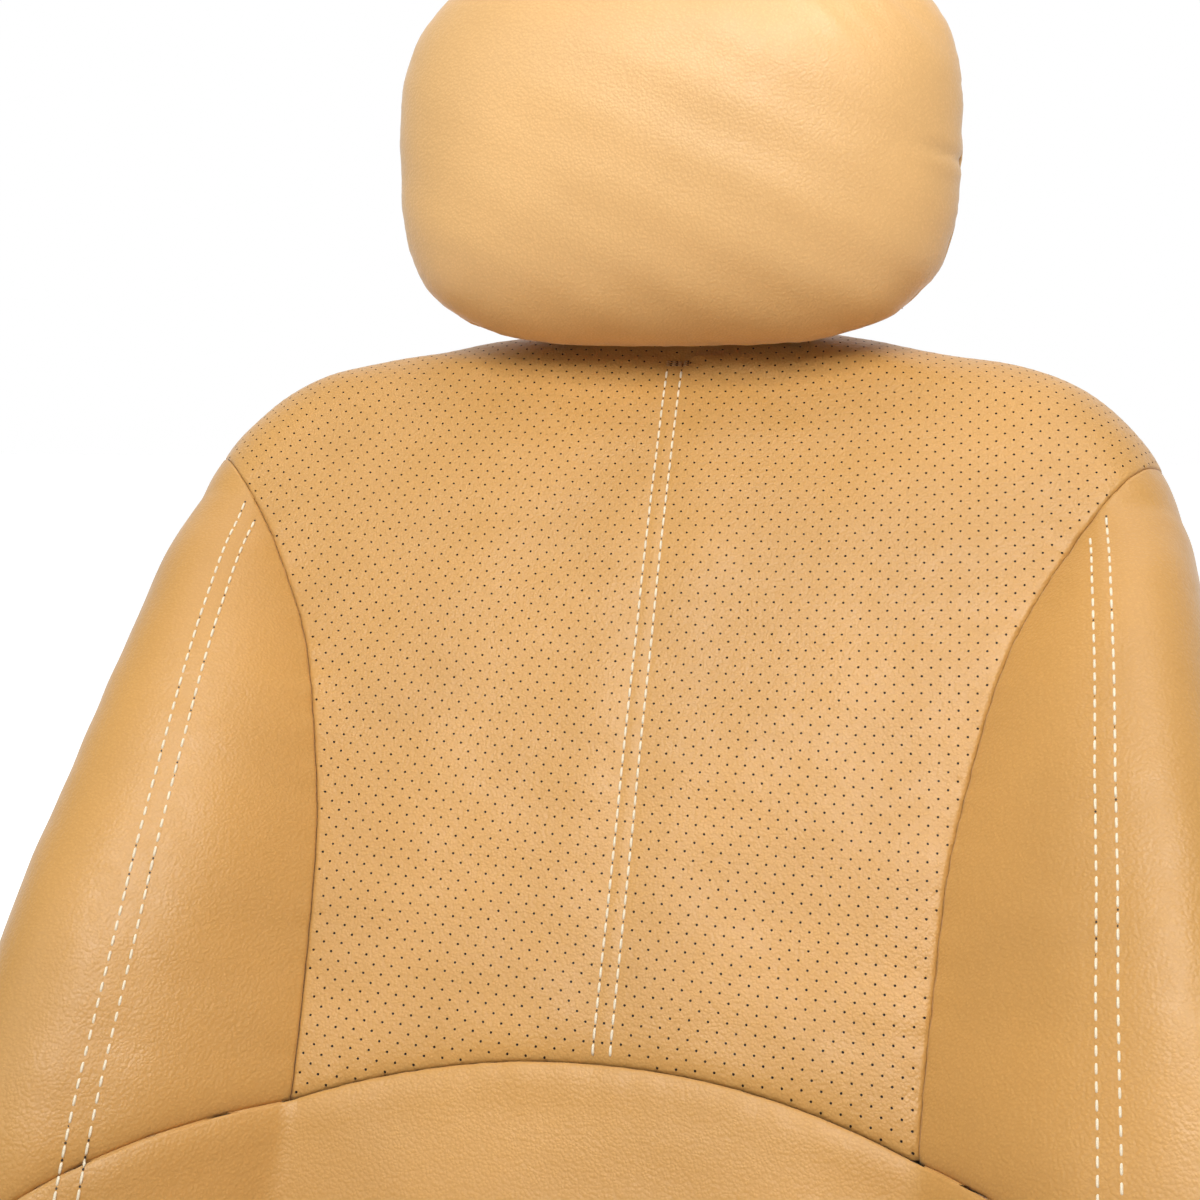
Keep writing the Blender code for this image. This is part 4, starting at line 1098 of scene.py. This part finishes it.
def backrest_back():
    bag, hem = pouch(POCKET[0], POCKET[1] - 12, 3.6), pouch(POCKET[1] - 11, POCKET[1], 5.0)
    panel("backrest_map_pocket", BACK, bag, 70, 50, "knit_backing",
          seed=61, mats=(KNIT, BACKING), thick=2.4, pucker=0.4, level=0.3)
    panel("map_pocket_binding", BACK, hem, 120, 14, "hook_and_loop",
          seed=62, mats=(WEBBING, WEBBING), thick=4.0, pucker=0.5, level=0.1)
    level = ((0, 1), (SHEET + 0.4, SHEET + 0.4))
    for name, body, drop, seed in (("backrest_loop_tape", BACK, 5.2, 65),
                                   ("backrest_hook_tape", "closure_flap", 7.0, 66)):
        panel(name, body, foot_place(0.46, 0.62, ((0, 1), (drop, drop)), FLAP_HALF - 12), 90, 18,
              "hook_and_loop", seed=seed, mats=(PILE, WEBBING), thick=1.4, roll=False, level=0.05)
    panel("backrest_tail_flap", BACK, foot_place(0.04, 0.66, level, FLAP_HALF), 70, 24, seed=63)
    rising = ((0.42, 0.68, 0.985), (10.4, 10.4, SHEET + 0.4))
    closing = foot_place(0.42, 0.985, rising, FLAP_HALF)
    panel("backrest_closure_flap", "closure_flap", closing, 70, 24, seed=64)


# ---- headrest ----
def head_outline(turn, scale=1.0):
    c, s = np.cos(turn), np.sin(turn)
    a, b = HEAD_HALF
    power = np.where(s > 0, HEAD_POWER, HEAD_POWER_LOW)
    reach = (np.abs(c / a) ** power + np.abs(s / b) ** power) ** (-1 / power)
    narrow = 1 - HEAD_NARROWING * np.clip(s * reach / b, 0, 1) ** 2
    return np.stack([c * reach * narrow, s * reach], axis=-1) * np.asarray(scale)[..., None]


def head_point(across, up, forward):
    return np.stack([across, HEAD_Y - forward + 0 * across, HEAD_Z + up], axis=-1)


def head_dome(height, scale, base, flip):
    def place(u, v):
        a, b = (1 - 2 * u if flip else 2 * u - 1), 2 * v - 1
        square = np.maximum(np.abs(a), np.abs(b))
        turn = np.arctan2(b * HEAD_HALF[1], a * HEAD_HALF[0])
        share = np.sin(square * math.pi / 2)
        flat = head_outline(turn, scale * share)
        rise = height * np.sqrt(np.maximum(1 - share**2.6, 0))
        return head_point(flat[:, 0], flat[:, 1], base - rise if flip else base + rise)
    return place


def head_band(first, last, front, back):
    def place(u, v):
        turn = last + (first - last) * u
        depth = back + (front - back) * v
        scale = 1 - (1 - HEAD_TAPER) * (depth / HEAD_BAND) ** 2
        flat = head_outline(turn, scale)
        return head_point(flat[:, 0], flat[:, 1], -depth)
    return place


def head_wave(points):
    """Gathers along the headrest's front seam, the same on both sides of it."""
    x, z = points[:, 0], points[:, 2] - HEAD_Z
    arc = np.arctan2(z / HEAD_HALF[1], x / HEAD_HALF[0])[:, None] * 125
    behind = np.abs(points[:, 1] - HEAD_Y)
    return (0.35 * ripple(arc, 26, 71) + 0.16 * ripple(arc, 9, 72)) * np.exp(-behind / 9)


def head_relief(u, v, points):
    """The seam's gathers, one deeper pucker low on the right, faint slack creases."""
    x, z = points[:, 0], points[:, 2] - HEAD_Z
    slant = z + 10 + 0.22 * (x - 141)
    crease = -1.5 * bump(slant, 2.4) * np.clip((x - 116) / 16, 0, 1)
    fold = 0.7 * bump(slant + 6, 4) * np.clip((x - 108) / 24, 0, 1)
    slack = 0.30 * ripple(np.stack([x * 0.6 + z, z * 0.5], axis=1), 42, 73)
    low = 0.35 * bump(z + 78, 14) * ripple(x[:, None], 36, 74)
    high = 0.45 * bump(z - 60, 26) * bump(x - 95, 30) * ripple(np.stack([x + z], axis=1), 20, 75)
    return head_wave(points) + crease + fold + slack + low + high


def band_relief(u, v, points):
    rear = np.abs(points[:, 1] - (HEAD_Y + HEAD_BAND))
    return head_wave(points) + 0.3 * ripple(u[:, None] * 700, 21, 76) * np.exp(-rear / 9)


def under_flap(name, depths, notch_at, seed):
    """A flap under the headrest, with a half-round notch for each post in one long edge."""
    def wrap(flat):
        x, depth = -flat[:, 0], flat[:, 1]
        inner = 1 - (np.abs(x) / HEAD_HALF[0]) ** HEAD_POWER_LOW
        z = -HEAD_HALF[1] * inner ** (1 / HEAD_POWER_LOW)
        scale = 1 - (1 - HEAD_TAPER) * (depth / HEAD_BAND) ** 2
        return head_point(x * scale, z * scale, -depth)
    turns = np.linspace(0, math.pi, 25)
    near, far = depths
    end = CLOSURE_HALF - 1.2
    if notch_at == far:
        edge = [(end, far)]
        for x in (POST_HALF_SPACING, -POST_HALF_SPACING):
            edge += [(x + POST_HOLE * math.cos(t), far - POST_HOLE * math.sin(t)) for t in turns]
        outline = [(-end, near), (end, near), *edge, (-end, far)]
    else:
        edge = []
        for x in (-POST_HALF_SPACING, POST_HALF_SPACING):
            edge += [(x - POST_HOLE * math.cos(t), near + POST_HOLE * math.sin(t)) for t in turns]
        outline = [(-end, near), *edge, (end, near), (end, far), (-end, far)]
    outline = resample(np.array([*outline, outline[0]], float), 421)[:-1]
    thing = cut_sheet(name + "_sewn", outline, wrap, lambda flat: 0.15 * ripple(flat, 26, seed),
                      seed, punched=False, mats=(LEATHER_HEAD_PAINTED_LIGHTER, BACKING), pucker=0.12)
    finish_piece(thing, HEAD, [name])


def eyelet(name, centre, tilt):
    """A rolled eyelet round a headrest post."""
    lap = np.linspace(0, 2 * math.pi, 25)[:-1]
    rim, crown = 8.5 + 2.5 * np.cos(lap), np.where(np.sin(lap) > 0, 1.0, 0.55) * np.sin(lap)
    turns = np.linspace(0, 2 * math.pi, 49)[:-1]
    points = np.array([(r * math.cos(t), r * math.sin(t) * math.cos(tilt) - z * math.sin(tilt),
                        r * math.sin(t) * math.sin(tilt) + z * math.cos(tilt))
                       for t in turns for r, z in zip(rim, crown)]) + centre
    rows, columns = len(turns), len(lap)
    faces = [(m * columns + a, m * columns + (a + 1) % columns,
              (m + 1) % rows * columns + (a + 1) % columns, (m + 1) % rows * columns + a)
             for m in range(rows) for a in range(columns)]
    thing = smooth(face_out(make_mesh(name + "_rolled", points, faces, (STEEL,))), 60)
    finish_piece(thing, HEAD, [name])


def headrest():
    gap = 0.05
    # The headrest's panels take the paler copy of the leatherette, painted light.
    both = (LEATHER_HEAD_PAINTED_LIGHTER, BACKING)
    panel("headrest_front_panel", HEAD, head_dome(HEAD_FRONT, 1.0, gap, False), 120, 96,
          relief=head_relief, seed=81, mats=both, level=0.08, pucker=0.0)
    rear_dome = head_dome(HEAD_BACK, HEAD_TAPER, -HEAD_BAND - gap, True)
    panel("headrest_rear_panel", HEAD, rear_dome, 80, 60, seed=82, mats=both)
    closure = math.atan2(HEAD_HALF[1], CLOSURE_HALF)
    right, left = -closure + 0.002, math.pi + closure - 0.002
    panel("headrest_side_band", HEAD, head_band(left, right, gap, HEAD_BAND - gap), 220, 26,
          seed=83, mats=both, pucker=0.0, relief=band_relief)
    under_flap("headrest_front_flap", (gap, POST_DEPTH - 0.2), POST_DEPTH - 0.2, 84)
    under_flap("headrest_rear_flap", (POST_DEPTH + 0.2, HEAD_BAND - gap), POST_DEPTH + 0.2, 85)
    scale = 1 - (1 - HEAD_TAPER) * (POST_DEPTH / HEAD_BAND) ** 2
    tilt = math.atan(2 * HEAD_HALF[1] * (1 - HEAD_TAPER) * POST_DEPTH / HEAD_BAND**2)
    level = head_outline(math.atan2(-HEAD_HALF[1], POST_HALF_SPACING), scale)[1]
    for side, sign in (("left", -1), ("right", 1)):
        place = head_point(np.array(sign * POST_HALF_SPACING), level + SHEET + 3.2, -POST_DEPTH)
        eyelet(f"headrest_{side}_post_grommet", place, tilt)
    for name, lift, seed in (("headrest_hook_tape", 2.2, 86), ("headrest_loop_tape", 4.2, 87)):
        centre = head_point(np.array(0.0), -HEAD_HALF[1] * scale + SHEET + lift, -POST_DEPTH)

        def tape(u, v, centre=centre):
            x, y = HEAD_TAPE[0] * (0.5 - u), HEAD_TAPE[1] * (v - 0.5)
            return centre + np.stack([x, y * math.cos(tilt) + 0.75 * math.sin(tilt),
                                      y * math.sin(tilt) - 0.75 * math.cos(tilt)], axis=-1)
        panel(name, HEAD, tape, 60, 24, "hook_and_loop", seed=seed, mats=(PILE, WEBBING), thick=1.5,
              roll=False, level=0.05)


# ---- cushion ----
def cushion_top(x, y):
    x = np.abs(x)
    sit = CUSHION_TOP - CUSHION_SLOPE * (y + 30)
    sit_fade = np.clip((y + 215) / 200, 0, 1) * np.clip((CUSHION_REAR - y) / 120, 0, 1)
    dip = 10 * np.cos(np.clip(x / CUSHION_SEAM, 0, 1) * math.pi / 2) * sit_fade
    width = CUSHION_HALF - CUSHION_ROLL - CUSHION_SEAM
    share = np.clip((x - CUSHION_SEAM) / width, 0, 1)
    rear = np.clip((118 - y) / 150, 0, 1)
    front = np.clip((y - CUSHION_FRONT - 20) / 150, 0, 1)
    fade = 0.25 * (1 - np.cos(math.pi * rear)) * (1 - np.cos(math.pi * front))
    return sit - dip + CUSHION_BOLSTER * np.sin(share * math.pi / 2) * fade


side_in = CUSHION_HALF - CUSHION_ROLL
front_in = CUSHION_FRONT + CUSHION_ROLL
half_cushion = np.array(
    [(side_in, CUSHION_REAR), (side_in, front_in + 60)]
    + [(side_in - 50 + 50 * math.cos(t), front_in + 50 - 50 * math.sin(t))
       for t in np.linspace(0, math.pi / 2, 9)]
    + [(0, front_in)]
)
CUSHION_INNER = resample(np.concatenate([half_cushion, half_cushion[-2::-1] * (-1, 1)]), 601)
cushion_tangent = np.gradient(CUSHION_INNER, axis=0)
CUSHION_OUT = np.stack([-cushion_tangent[:, 1], cushion_tangent[:, 0]], axis=1)
CUSHION_OUT /= np.linalg.norm(CUSHION_OUT, axis=1, keepdims=True)
CUSHION_ALONG = cushion_tangent / np.linalg.norm(cushion_tangent, axis=1, keepdims=True)
CUSHION_TREE = tree_of(CUSHION_INNER)


def cushion_wrap(flat):
    x, y = flat[:, 0], flat[:, 1]
    at = foot_on(CUSHION_TREE, CUSHION_INNER, CUSHION_ALONG, flat)
    foot, way = at_index(CUSHION_INNER, at), at_index(CUSHION_OUT, at)
    beyond = np.maximum(((flat - foot) * way).sum(axis=1), 0)
    angle = np.minimum(beyond / CUSHION_ROLL, math.pi / 2)
    hang = np.maximum(beyond - CUSHION_ROLL * math.pi / 2, 0)
    out = foot + way * (CUSHION_ROLL * np.sin(angle))[:, None]
    low = cushion_top(*foot.T) - CUSHION_ROLL * (1 - np.cos(angle)) - hang
    inside = beyond <= 0
    x, y = np.where(inside, x, out[:, 0]), np.where(inside, y, out[:, 1])
    z = np.where(inside, cushion_top(x, y), low)
    return np.stack([x, y - SET_FORWARD, z], axis=-1)


def cushion_skirt(first, last):
    def place(u, v):
        at = last + (first - last) * u
        foot, out = at_index(CUSHION_INNER, at), at_index(CUSHION_OUT, at)
        edge = foot + out * CUSHION_ROLL
        top = cushion_top(*foot.T) - CUSHION_ROLL - SKIRT_DROP - 2 * SEAM_GAP
        low = HEM_TAPE[1] + 0.4
        return np.stack([edge[:, 0], edge[:, 1] - SET_FORWARD, low + (top - low) * v], axis=-1)
    return place


def apron_y(x):
    return APRON_SEAM + APRON_ARCH * (np.abs(x) / CUSHION_SEAM) ** 2


CUSHION_ROW = 206.0


def cushion_relief(flat):
    x, y = flat[:, 0], flat[:, 1]
    behind = y - apron_y(x)
    h = np.where(behind > 0, -1.6 * np.exp(-np.maximum(behind, 0) / 6), 0)
    h += 0.6 * ripple(flat, 80, 91) + 0.18 * ripple(flat, 30, 92)
    centre = (np.abs(x) < CUSHION_SEAM) & (behind > 0)
    h += centre * (-1.0 * bump(x, 14) - 0.35 * bump(np.abs(x) - TWIN, 1.3))
    row = np.abs(x) - CUSHION_ROW
    h += ~centre * (behind > 0) * (-1.2 * bump(row, 14) - 0.35 * bump(np.abs(row) - TWIN, 1.3))
    return h


def cushion():
    count = len(CUSHION_INNER)
    rim = CUSHION_INNER + CUSHION_OUT * (CUSHION_ROLL * math.pi / 2 + SKIRT_DROP)
    seam_in, seam_out = CUSHION_SEAM - SEAM_GAP, CUSHION_SEAM + SEAM_GAP
    rear = CUSHION_REAR - SEAM_GAP
    xs = np.linspace(-seam_in, seam_in, 100)
    front = np.stack([xs, apron_y(xs) + SEAM_GAP], axis=1)
    outline = np.concatenate([front[:-1], line(front[-1], (seam_in, rear))[:-1],
                              line((seam_in, rear), (-seam_in, rear))[:-1],
                              line((-seam_in, rear), front[0])[:-1]])
    outline = resample(np.concatenate([outline, outline[:1]]), 480)[:-1]
    centre = cut_sheet("cushion_center_panel_sewn", outline, cushion_wrap, cushion_relief, 95,
                       rows=(-TWIN, TWIN))
    finish_piece(centre, CUSHION, ["cushion_center_panel"])
    edge = int(np.argmin(np.abs(rim[: count // 2, 1] - apron_y(rim[: count // 2, 0]))))
    side_x = np.linspace(seam_out, rim[edge][0], 31)
    outer = ease_ends(resample(rim[:edge][::-1], 60), rim[edge], rim[0]) + (0, SEAM_GAP)
    bottom = np.stack([side_x, apron_y(side_x) + SEAM_GAP], axis=1)
    bolster = coons(bottom, line((seam_out, rear), (outer[-1][0], rear)),
                    line(bottom[0], (seam_out, rear)), outer)
    for side, flip in (("right", False), ("left", True)):
        flat_place = mirrored(bolster, flip)
        panel(f"cushion_{side}_bolster_panel", CUSHION, flat_place, 60, 90, wrap=cushion_wrap,
              relief=lambda u, v, p, f=flat_place: cushion_relief(f(u, v)), seed=101 + flip,
              level=0.05)
    full = np.concatenate([-side_x[::-1], xs, side_x])
    top = resample(np.stack([full, apron_y(full) - SEAM_GAP], axis=1), 240)
    low = resample(rim[edge + 1:count - edge - 1][::-1], 160)
    corner = len(low) // 4
    apron = coons(low[corner:-corner], top, low[:corner + 1][::-1], low[-corner - 1:])
    panel("cushion_front_panel", CUSHION, apron, 140, 60, wrap=cushion_wrap,
          relief=lambda u, v, p: cushion_relief(apron(u, v)), seed=103, level=0.05, pucker=0.4)
    for name, first, last, across in (
        ("cushion_right_skirt", 0, SKIRT_CORNER - 0.04, 100),
        ("cushion_front_skirt", SKIRT_CORNER + 0.04, count - 1.04 - SKIRT_CORNER, 90),
        ("cushion_left_skirt", count - 0.96 - SKIRT_CORNER, count - 1, 100),
    ):
        panel(name, CUSHION, cushion_skirt(first, last), across, 34, seed=104 + len(name),
              pucker=0.4, level=0.35)

    def tuck(u, v):
        x = (2 * u - 1) * FLAP_HALF
        y = CUSHION_REAR + SEAM_GAP + TUCK[0] * (1 - v)
        z = cushion_top(x, np.full_like(x, CUSHION_REAR)) - TUCK[1] * (1 - v) ** 2
        return np.stack([x, y - SET_FORWARD, z], axis=-1)
    panel("cushion_tuck_flap", CUSHION, tuck, 70, 24, seed=109)
    straps()
    hem_binding()


def straps():
    """Webbing straps that loop round the cross bar of a bent wire hook."""
    flap = cushion_top(np.array([STRAP_AT]), np.array([CUSHION_REAR]))[0] - TUCK[1] - SHEET
    y, low = CUSHION_REAR + TUCK[0] - 6 - SET_FORWARD, flap - 2 - STRAP[2]
    bar = low - HOOK_BAR_DROP
    reach = HOOK_WIRE / 2 + 1.5
    half_turn = np.linspace(0, math.pi, 13)
    bend = [(y - reach * math.cos(t), bar - reach * math.sin(t)) for t in half_turn]
    route = resample(np.array([(y - 0.2, flap - 2), (y - 0.4, low + 26), (y - 1.8, low + 8), *bend,
                               (y + 2.2, low + 8), (y + 1.4, low + 24)]), 160)
    for side, sign in (("left", -1), ("right", 1)):
        x = sign * STRAP_AT

        def strip(u, v, x=x):
            there = along(route, 1 - v)
            return np.stack([x + STRAP[0] * (u - 0.5), there[:, 0], there[:, 1]], axis=-1)
        panel(f"cushion_{side}_strap", CUSHION, strip, 40, 110, "hook_and_loop", seed=111,
              mats=(WEBBING, WEBBING), thick=1.1, roll=False, level=0.08)
        rows = []
        for level in (low + 10, low + 20):
            across = np.linspace(x - 9, x + 9, 40)
            rows.append((np.stack([across, 0 * across + y - 1.35, 0 * across + level], axis=1),
                         np.tile((0.0, -1.0, 0.0), (40, 1))))
        stitching(f"cushion_{side}_strap_stitching", CUSHION, rows, pitch=3.0, radius=0.35,
                  lift=0.1)
        corner = [(x, y + 8 - 8 * math.cos(t), low - 24 - 8 * math.sin(t))
                  for t in np.linspace(0, math.pi, 17)]
        points = [(x, y, bar), *corner, (x, y + 18, low - 16)]
        hook = wire(f"cushion_{side}_strap_hook_wire", np.array(points), HOOK_WIRE / 2, STEEL)
        ends = np.array([(x - 11, y, bar), (x + 11, y, bar)])
        cross = wire("cross_bar", ends, HOOK_WIRE / 2, STEEL, (0, 1, 0))
        bm = bmesh.new()
        bm.from_mesh(hook.data)
        bm.from_mesh(cross.data)
        bm.to_mesh(hook.data)
        bm.free()
        bpy.data.objects.remove(cross)
        finish_piece(hook, f"{side}_hook", [f"cushion_{side}_strap_hook"])


def hem_binding():
    """A folded tape that wraps the foot of the skirts."""
    count = 420
    at = np.linspace(0, len(CUSHION_INNER) - 1, count)
    out = at_index(CUSHION_OUT, at)
    flat = at_index(CUSHION_INNER, at) + out * (CUSHION_ROLL - SHEET / 2)
    route = np.stack([flat[:, 0], flat[:, 1] - SET_FORWARD, 0 * at], axis=1)
    ways = np.stack([out[:, 0], out[:, 1], 0 * at], axis=1)
    ups = np.tile((0.0, 0.0, 1.0), (count, 1))
    turns = np.linspace(0, 2 * math.pi, 25)[:-1]
    power = 0.5
    half, tall = HEM_TAPE[0] / 2, HEM_TAPE[1] / 2
    cosines, sines = np.cos(turns), np.sin(turns)
    profile = np.stack([half * np.sign(cosines) * np.abs(cosines) ** power,
                        tall + tall * np.sign(sines) * np.abs(sines) ** power], axis=1)
    thing = smooth(sweep("cushion_hem_binding_folded", route, ways, ups, profile, (WEBBING,)), 60)
    finish_piece(thing, CUSHION, ["cushion_hem_binding"])
    sides = [(route + ways * (half - 0.1) + ups * (tall + 0.6), ways)]
    stitching("cushion_hem_stitching", CUSHION, sides, THREAD_TAN, pitch=4.0, radius=0.35,
              lift=0.15)


# ---- stitching ----
def lifted_path(wrap, relief, flat):
    normal = chart_normal(wrap, flat)
    return wrap(flat) + normal * relief(flat)[:, None], normal


def topstitching():
    s = np.linspace(2.0, 350, 500)
    rows = [lifted_path(back_front, front_relief, np.stack([np.full_like(s, x), s], axis=1))
            for x in (-TWIN, TWIN)]
    stitching("backrest_center_topstitch", BACK, rows)
    # The bar tack takes the darker tan thread, standing in as painted shade where the headrest's
    # shadow falls on it.
    x = np.linspace(-5, 7, 30)
    rows = [lifted_path(back_front, front_relief, np.stack([x, np.full_like(x, top)], axis=1))
            for top in (350.6, 352, 353.4)]
    stitching("backrest_neck_bar_tack", BACK, rows, THREAD_TAN, pitch=3.0, radius=0.45)
    for side, sign in (("left", -1), ("right", 1)):
        rows = []
        for off, top in ((-TWIN, 246), (TWIN, 256)):
            s = np.linspace(-228, top, 700)
            flat = np.stack([sign * (stitch_x(s) + off), s], axis=1)
            rows.append(lifted_path(back_front, front_relief, flat))
        stitching(f"backrest_{side}_bolster_topstitch", BACK, rows)
    y = np.linspace(APRON_SEAM + 3, CUSHION_REAR - 3, 500)
    rows = [lifted_path(cushion_wrap, cushion_relief, np.stack([np.full_like(y, x), y], axis=1))
            for x in (-TWIN, TWIN)]
    stitching("cushion_center_topstitch", CUSHION, rows)
    for side, sign in (("left", -1), ("right", 1)):
        y = np.linspace(APRON_SEAM + 36, CUSHION_REAR - 3, 500)
        rows = [lifted_path(cushion_wrap, cushion_relief,
                            np.stack([np.full_like(y, sign * (CUSHION_ROW + off)), y], axis=1))
                for off in (-TWIN, TWIN)]
        stitching(f"cushion_{side}_bolster_topstitch", CUSHION, rows)


# ---- stage ----
LIGHTS = (  # name, place, size, power and colour
    ("key_light", (-1.35, -1.45, 1.75), 0.9, 9, (0.86, 1.0, 1.0)),
    ("near_light", (0.12, -0.5, 1.32), 0.5, 11, (1.0, 0.97, 0.90)),
    ("top_light", (0.1, 0.2, 2.3), 1.3, 8, (1.0, 1.0, 1.0)),
)


WORLD_LEVELS = (0.23, 1.0)  # brightness of the world in front of the set and behind it
FLOOR_GLOW = 0.52  # of the floor behind the set; it fades to nothing in front
LIGHT_TARGET = (0, 0.22, 0.60)
CAMERA_LENS = 44.7
CAMERA_TURN, CAMERA_RISE = 11.53, 8.0  # degrees round and above the set
CAMERA_FROM_APEX = (0.1180, -0.5777, 0.2779)


def studio_world():
    """A soft white studio: bright behind, dimmer overhead and in front."""
    world = bpy.data.worlds.new("studio")
    bpy.context.scene.world = world
    world.use_nodes = True
    tree = world.node_tree
    coords = tree.nodes.new("ShaderNodeTexCoord")
    split = tree.nodes.new("ShaderNodeSeparateXYZ")
    tree.links.new(coords.outputs["Generated"], split.inputs["Vector"])
    mapped(tree, split.outputs["Y"], tree.nodes["Background"].inputs["Strength"], (-0.2, 0.55),
           WORLD_LEVELS, smoothly=True)
    tree.nodes["Background"].inputs["Color"].default_value = (1, 1, 1, 1)


def stage():
    mesh = bpy.data.meshes.new("studio_floor")
    half = 14
    mesh.from_pydata([(-half, -half, -0.001), (half, -half, -0.001), (half, half, -0.001),
                      (-half, half, -0.001)], [], [(0, 1, 2, 3)])
    ground = bpy.data.objects.new("studio_floor", mesh)
    bpy.context.scene.collection.objects.link(ground)
    mat, tree, shader = new_material("pale_floor", 0.9)
    shader.inputs["Base Color"].default_value = (0.93, 0.93, 0.93, 1)
    shader.inputs["Emission Color"].default_value = (1, 1, 1, 1)
    coords = tree.nodes.new("ShaderNodeTexCoord")
    split = tree.nodes.new("ShaderNodeSeparateXYZ")
    tree.links.new(coords.outputs["Object"], split.inputs["Vector"])
    mapped(tree, split.outputs["Y"], shader.inputs["Emission Strength"], (-0.1, 0.7),
           (0.0, FLOOR_GLOW))
    mesh.materials.append(mat)
    studio_world()
    target = Vector(LIGHT_TARGET)
    for name, place, size, power, colour in LIGHTS:
        light = bpy.data.lights.new(name, "AREA")
        light.energy = power
        light.color = colour
        light.size = size
        lamp = bpy.data.objects.new(name, light)
        lamp.location = place
        lamp.visible_camera = False
        lamp.rotation_mode = "QUATERNION"
        lamp.rotation_quaternion = (target - Vector(place)).to_track_quat("-Z", "Y")
        bpy.context.scene.collection.objects.link(lamp)
    data = bpy.data.cameras.new("camera")
    data.lens = CAMERA_LENS
    data.sensor_width = 36
    data.clip_start = 0.02
    camera = bpy.data.objects.new("camera", data)
    a, e = math.radians(CAMERA_TURN), math.radians(CAMERA_RISE)
    back = Vector((math.sin(a) * math.cos(e), -math.cos(a) * math.cos(e), math.sin(e)))
    apex = Vector((0, (ARCH_APEX[0] - SET_FORWARD) * MM, ARCH_APEX[1] * MM))
    camera.location = apex + Vector(CAMERA_FROM_APEX)
    camera.rotation_mode = "QUATERNION"
    camera.rotation_quaternion = (-back).to_track_quat("-Z", "Y")
    bpy.context.scene.collection.objects.link(camera)
    bpy.context.scene.camera = camera
    bpy.context.scene.view_settings.view_transform = "Standard"


stage()
backrest_front()
backrest_back()
headrest()
cushion()
topstitching()
